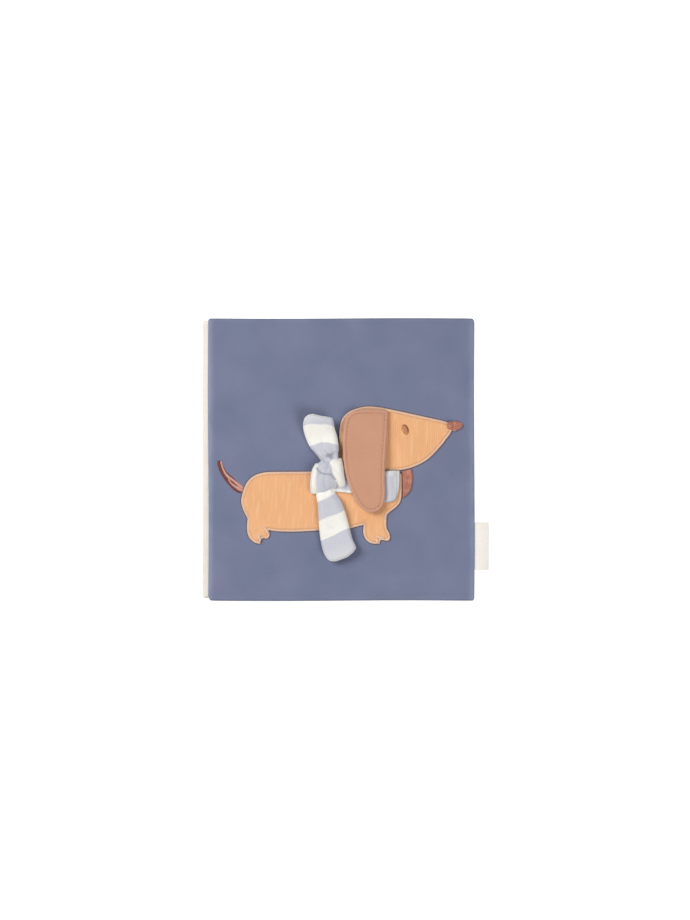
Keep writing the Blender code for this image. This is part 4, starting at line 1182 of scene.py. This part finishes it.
def make_label():
    """A folded satin ribbon that stands out of the seam and droops a little."""
    low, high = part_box("side_label")
    middle = (low.z + high.z) / 2
    outer, inner = (high.z - low.z) / 2, (high.z - low.z) / 2 - RIBBON_THICKNESS
    fold = high.x - outer
    turn = np.linspace(pi / 2, -pi / 2, 13)
    straight = np.linspace(low.x - LABEL_TUCK, fold, 12)

    def round_fold(half):
        """Out along one side, round the fold and back along the other."""
        bend = np.column_stack([fold + abs(half) * np.cos(turn), half * np.sin(turn)])[1:-1]
        sides = [np.column_stack([straight, np.full(12, height)]) for height in (half, -half)]
        return np.vstack([sides[0], bend, sides[1][::-1]])

    section = np.vstack([round_fold(outer), round_fold(-inner)])
    along = np.linspace(low.y, high.y, LABEL_ROWS)
    row = np.arange(LABEL_ROWS)[:, None]
    out = np.clip((section[:, 0] - low.x) / (high.x - low.x), 0, 1)
    droop = LABEL_DROOP * out ** 2 * (1 + 0.5 * np.sin(2 * pi * row / (LABEL_ROWS - 1) + 0.7))
    gape = 1 + 0.8 * np.sin(pi * out) * (0.6 + 0.4 * np.cos(3 * pi * row / LABEL_ROWS))
    heights = middle + section[:, 1] * gape - droop
    rings = np.stack(np.broadcast_arrays(section[:, 0], along[:, None], heights), -1)
    around = np.linspace(0, 2 * LABEL_TUCK * 8, len(section))
    made = loft("side_label_ribbon", rings, across=spread(around, along))
    place_piece(made, "label", "label_satin", "side_label")


# Stage

FLOOR_GLOW = 0.65  # near the book; it grows to 1 where the lamps no longer reach
FLOOR_NEAR, FLOOR_FAR = 0.5, 1.6
FLOOR_SIDE = 3.0
WORLD_STRENGTH = 0.20
LAMPS = [
    ("left_softbox", (-0.95, 0.55, 1.05), 0.80, 18.1),
    ("right_softbox", (0.85, -0.75, 1.00), 0.80, 10.9)]
LENS, SENSOR = 100, 36  # in millimetres
CAMERA_PLACE = (0.00238, -0.00028, 1.6536)


def background_rays(tree):
    """The socket that is 1 for rays which show the background, straight or by way of gloss or glass."""
    rays = add_node(tree, "LightPath").outputs
    mirrored = calculate(tree, "MAXIMUM", rays["Is Glossy Ray"], rays["Is Transmission Ray"])
    return calculate(tree, "MAXIMUM", rays["Is Camera Ray"], mirrored)


def make_floor():
    """A white floor that keeps the book's shadow."""
    side = FLOOR_SIDE
    corners = [(-side, -side, 0), (side, -side, 0), (side, side, 0), (-side, side, 0)]
    data = bpy.data.meshes.new("floor")
    data.from_pydata(corners, [], [(0, 1, 2, 3)])
    made = add_object("floor", data)
    looks, tree, shader = new_material("floor")
    tree.nodes.remove(shader)
    diffuse = add_node(tree, "BsdfDiffuse", {"Color": linear(FLOOR)})
    place = add_node(tree, "NewGeometry").outputs["Position"]
    away = add_node(tree, "VectorMath", {0: place}, operation="LENGTH")
    rise = add_node(tree, "MapRange", {
        "Value": away.outputs["Value"], "From Min": FLOOR_NEAR, "From Max": FLOOR_FAR,
        "To Min": FLOOR_GLOW, "To Max": 1})
    strength = calculate(tree, "MULTIPLY", background_rays(tree), rise.outputs["Result"])
    glow = add_node(tree, "Emission", {"Color": (1, 1, 1, 1), "Strength": strength})
    both = add_node(tree, "AddShader", {0: diffuse.outputs[0], 1: glow.outputs[0]})
    tree.links.new(both.outputs[0], tree.nodes["Material Output"].inputs["Surface"])
    data.materials.append(looks)


def make_light():
    """Two soft boxes on opposite sides, and an even white world."""
    for name, place, size, power in LAMPS:
        lamp = bpy.data.lights.new(name, "AREA")
        lamp.shape, lamp.size, lamp.energy = "SQUARE", size, power
        made = add_object(name, lamp, place)
        made.rotation_euler = (-Vector(place)).to_track_quat("-Z", "Y").to_euler()
    world = bpy.data.worlds.new("studio")
    world.use_nodes = True
    tree = world.node_tree
    shader = tree.nodes["Background"]
    strength = calculate(tree, "MULTIPLY_ADD", background_rays(tree), 1 - WORLD_STRENGTH, WORLD_STRENGTH)
    tree.links.new(strength, shader.inputs["Strength"])
    shader.inputs["Color"].default_value = (1, 1, 1, 1)
    bpy.context.scene.world = world


def make_camera():
    """A long lens straight above the cover."""
    data = bpy.data.cameras.new("camera")
    data.lens, data.sensor_width = LENS, SENSOR
    bpy.context.scene.camera = add_object("camera", data, CAMERA_PLACE)


def build():
    """The whole book and its stage."""
    make_camera()
    for index, (leaf, (upper, lower)) in enumerate(LEAF_COLOURS.items()):
        step = FRONT_STEP if leaf == "front_cover" else PANEL_STEP
        make_panel(leaf, "upper", upper, step, 100 + 10 * index)
        make_panel(leaf, "lower", lower, PANEL_STEP, 105 + 10 * index)
        make_filling(leaf, 200 + 10 * index)
        make_margin(leaf)
    make_spine()
    make_dog()
    make_ear()
    make_band()
    make_knot()
    make_scarf_end("scarf_upper_end_cloth", "scarf_upper_end", UPPER_HINGE, 1,
                   UPPER_CURL, UPPER_STRIPES, 81)
    make_scarf_end("scarf_lower_end_cloth", "scarf_lower_end", LOWER_HINGE, -1,
                   LOWER_CURL, LOWER_STRIPES, 85)
    make_label()
    make_floor()
    make_light()
    bpy.context.scene.view_settings.view_transform = "Standard"


build()
bpy.context.view_layer.update()
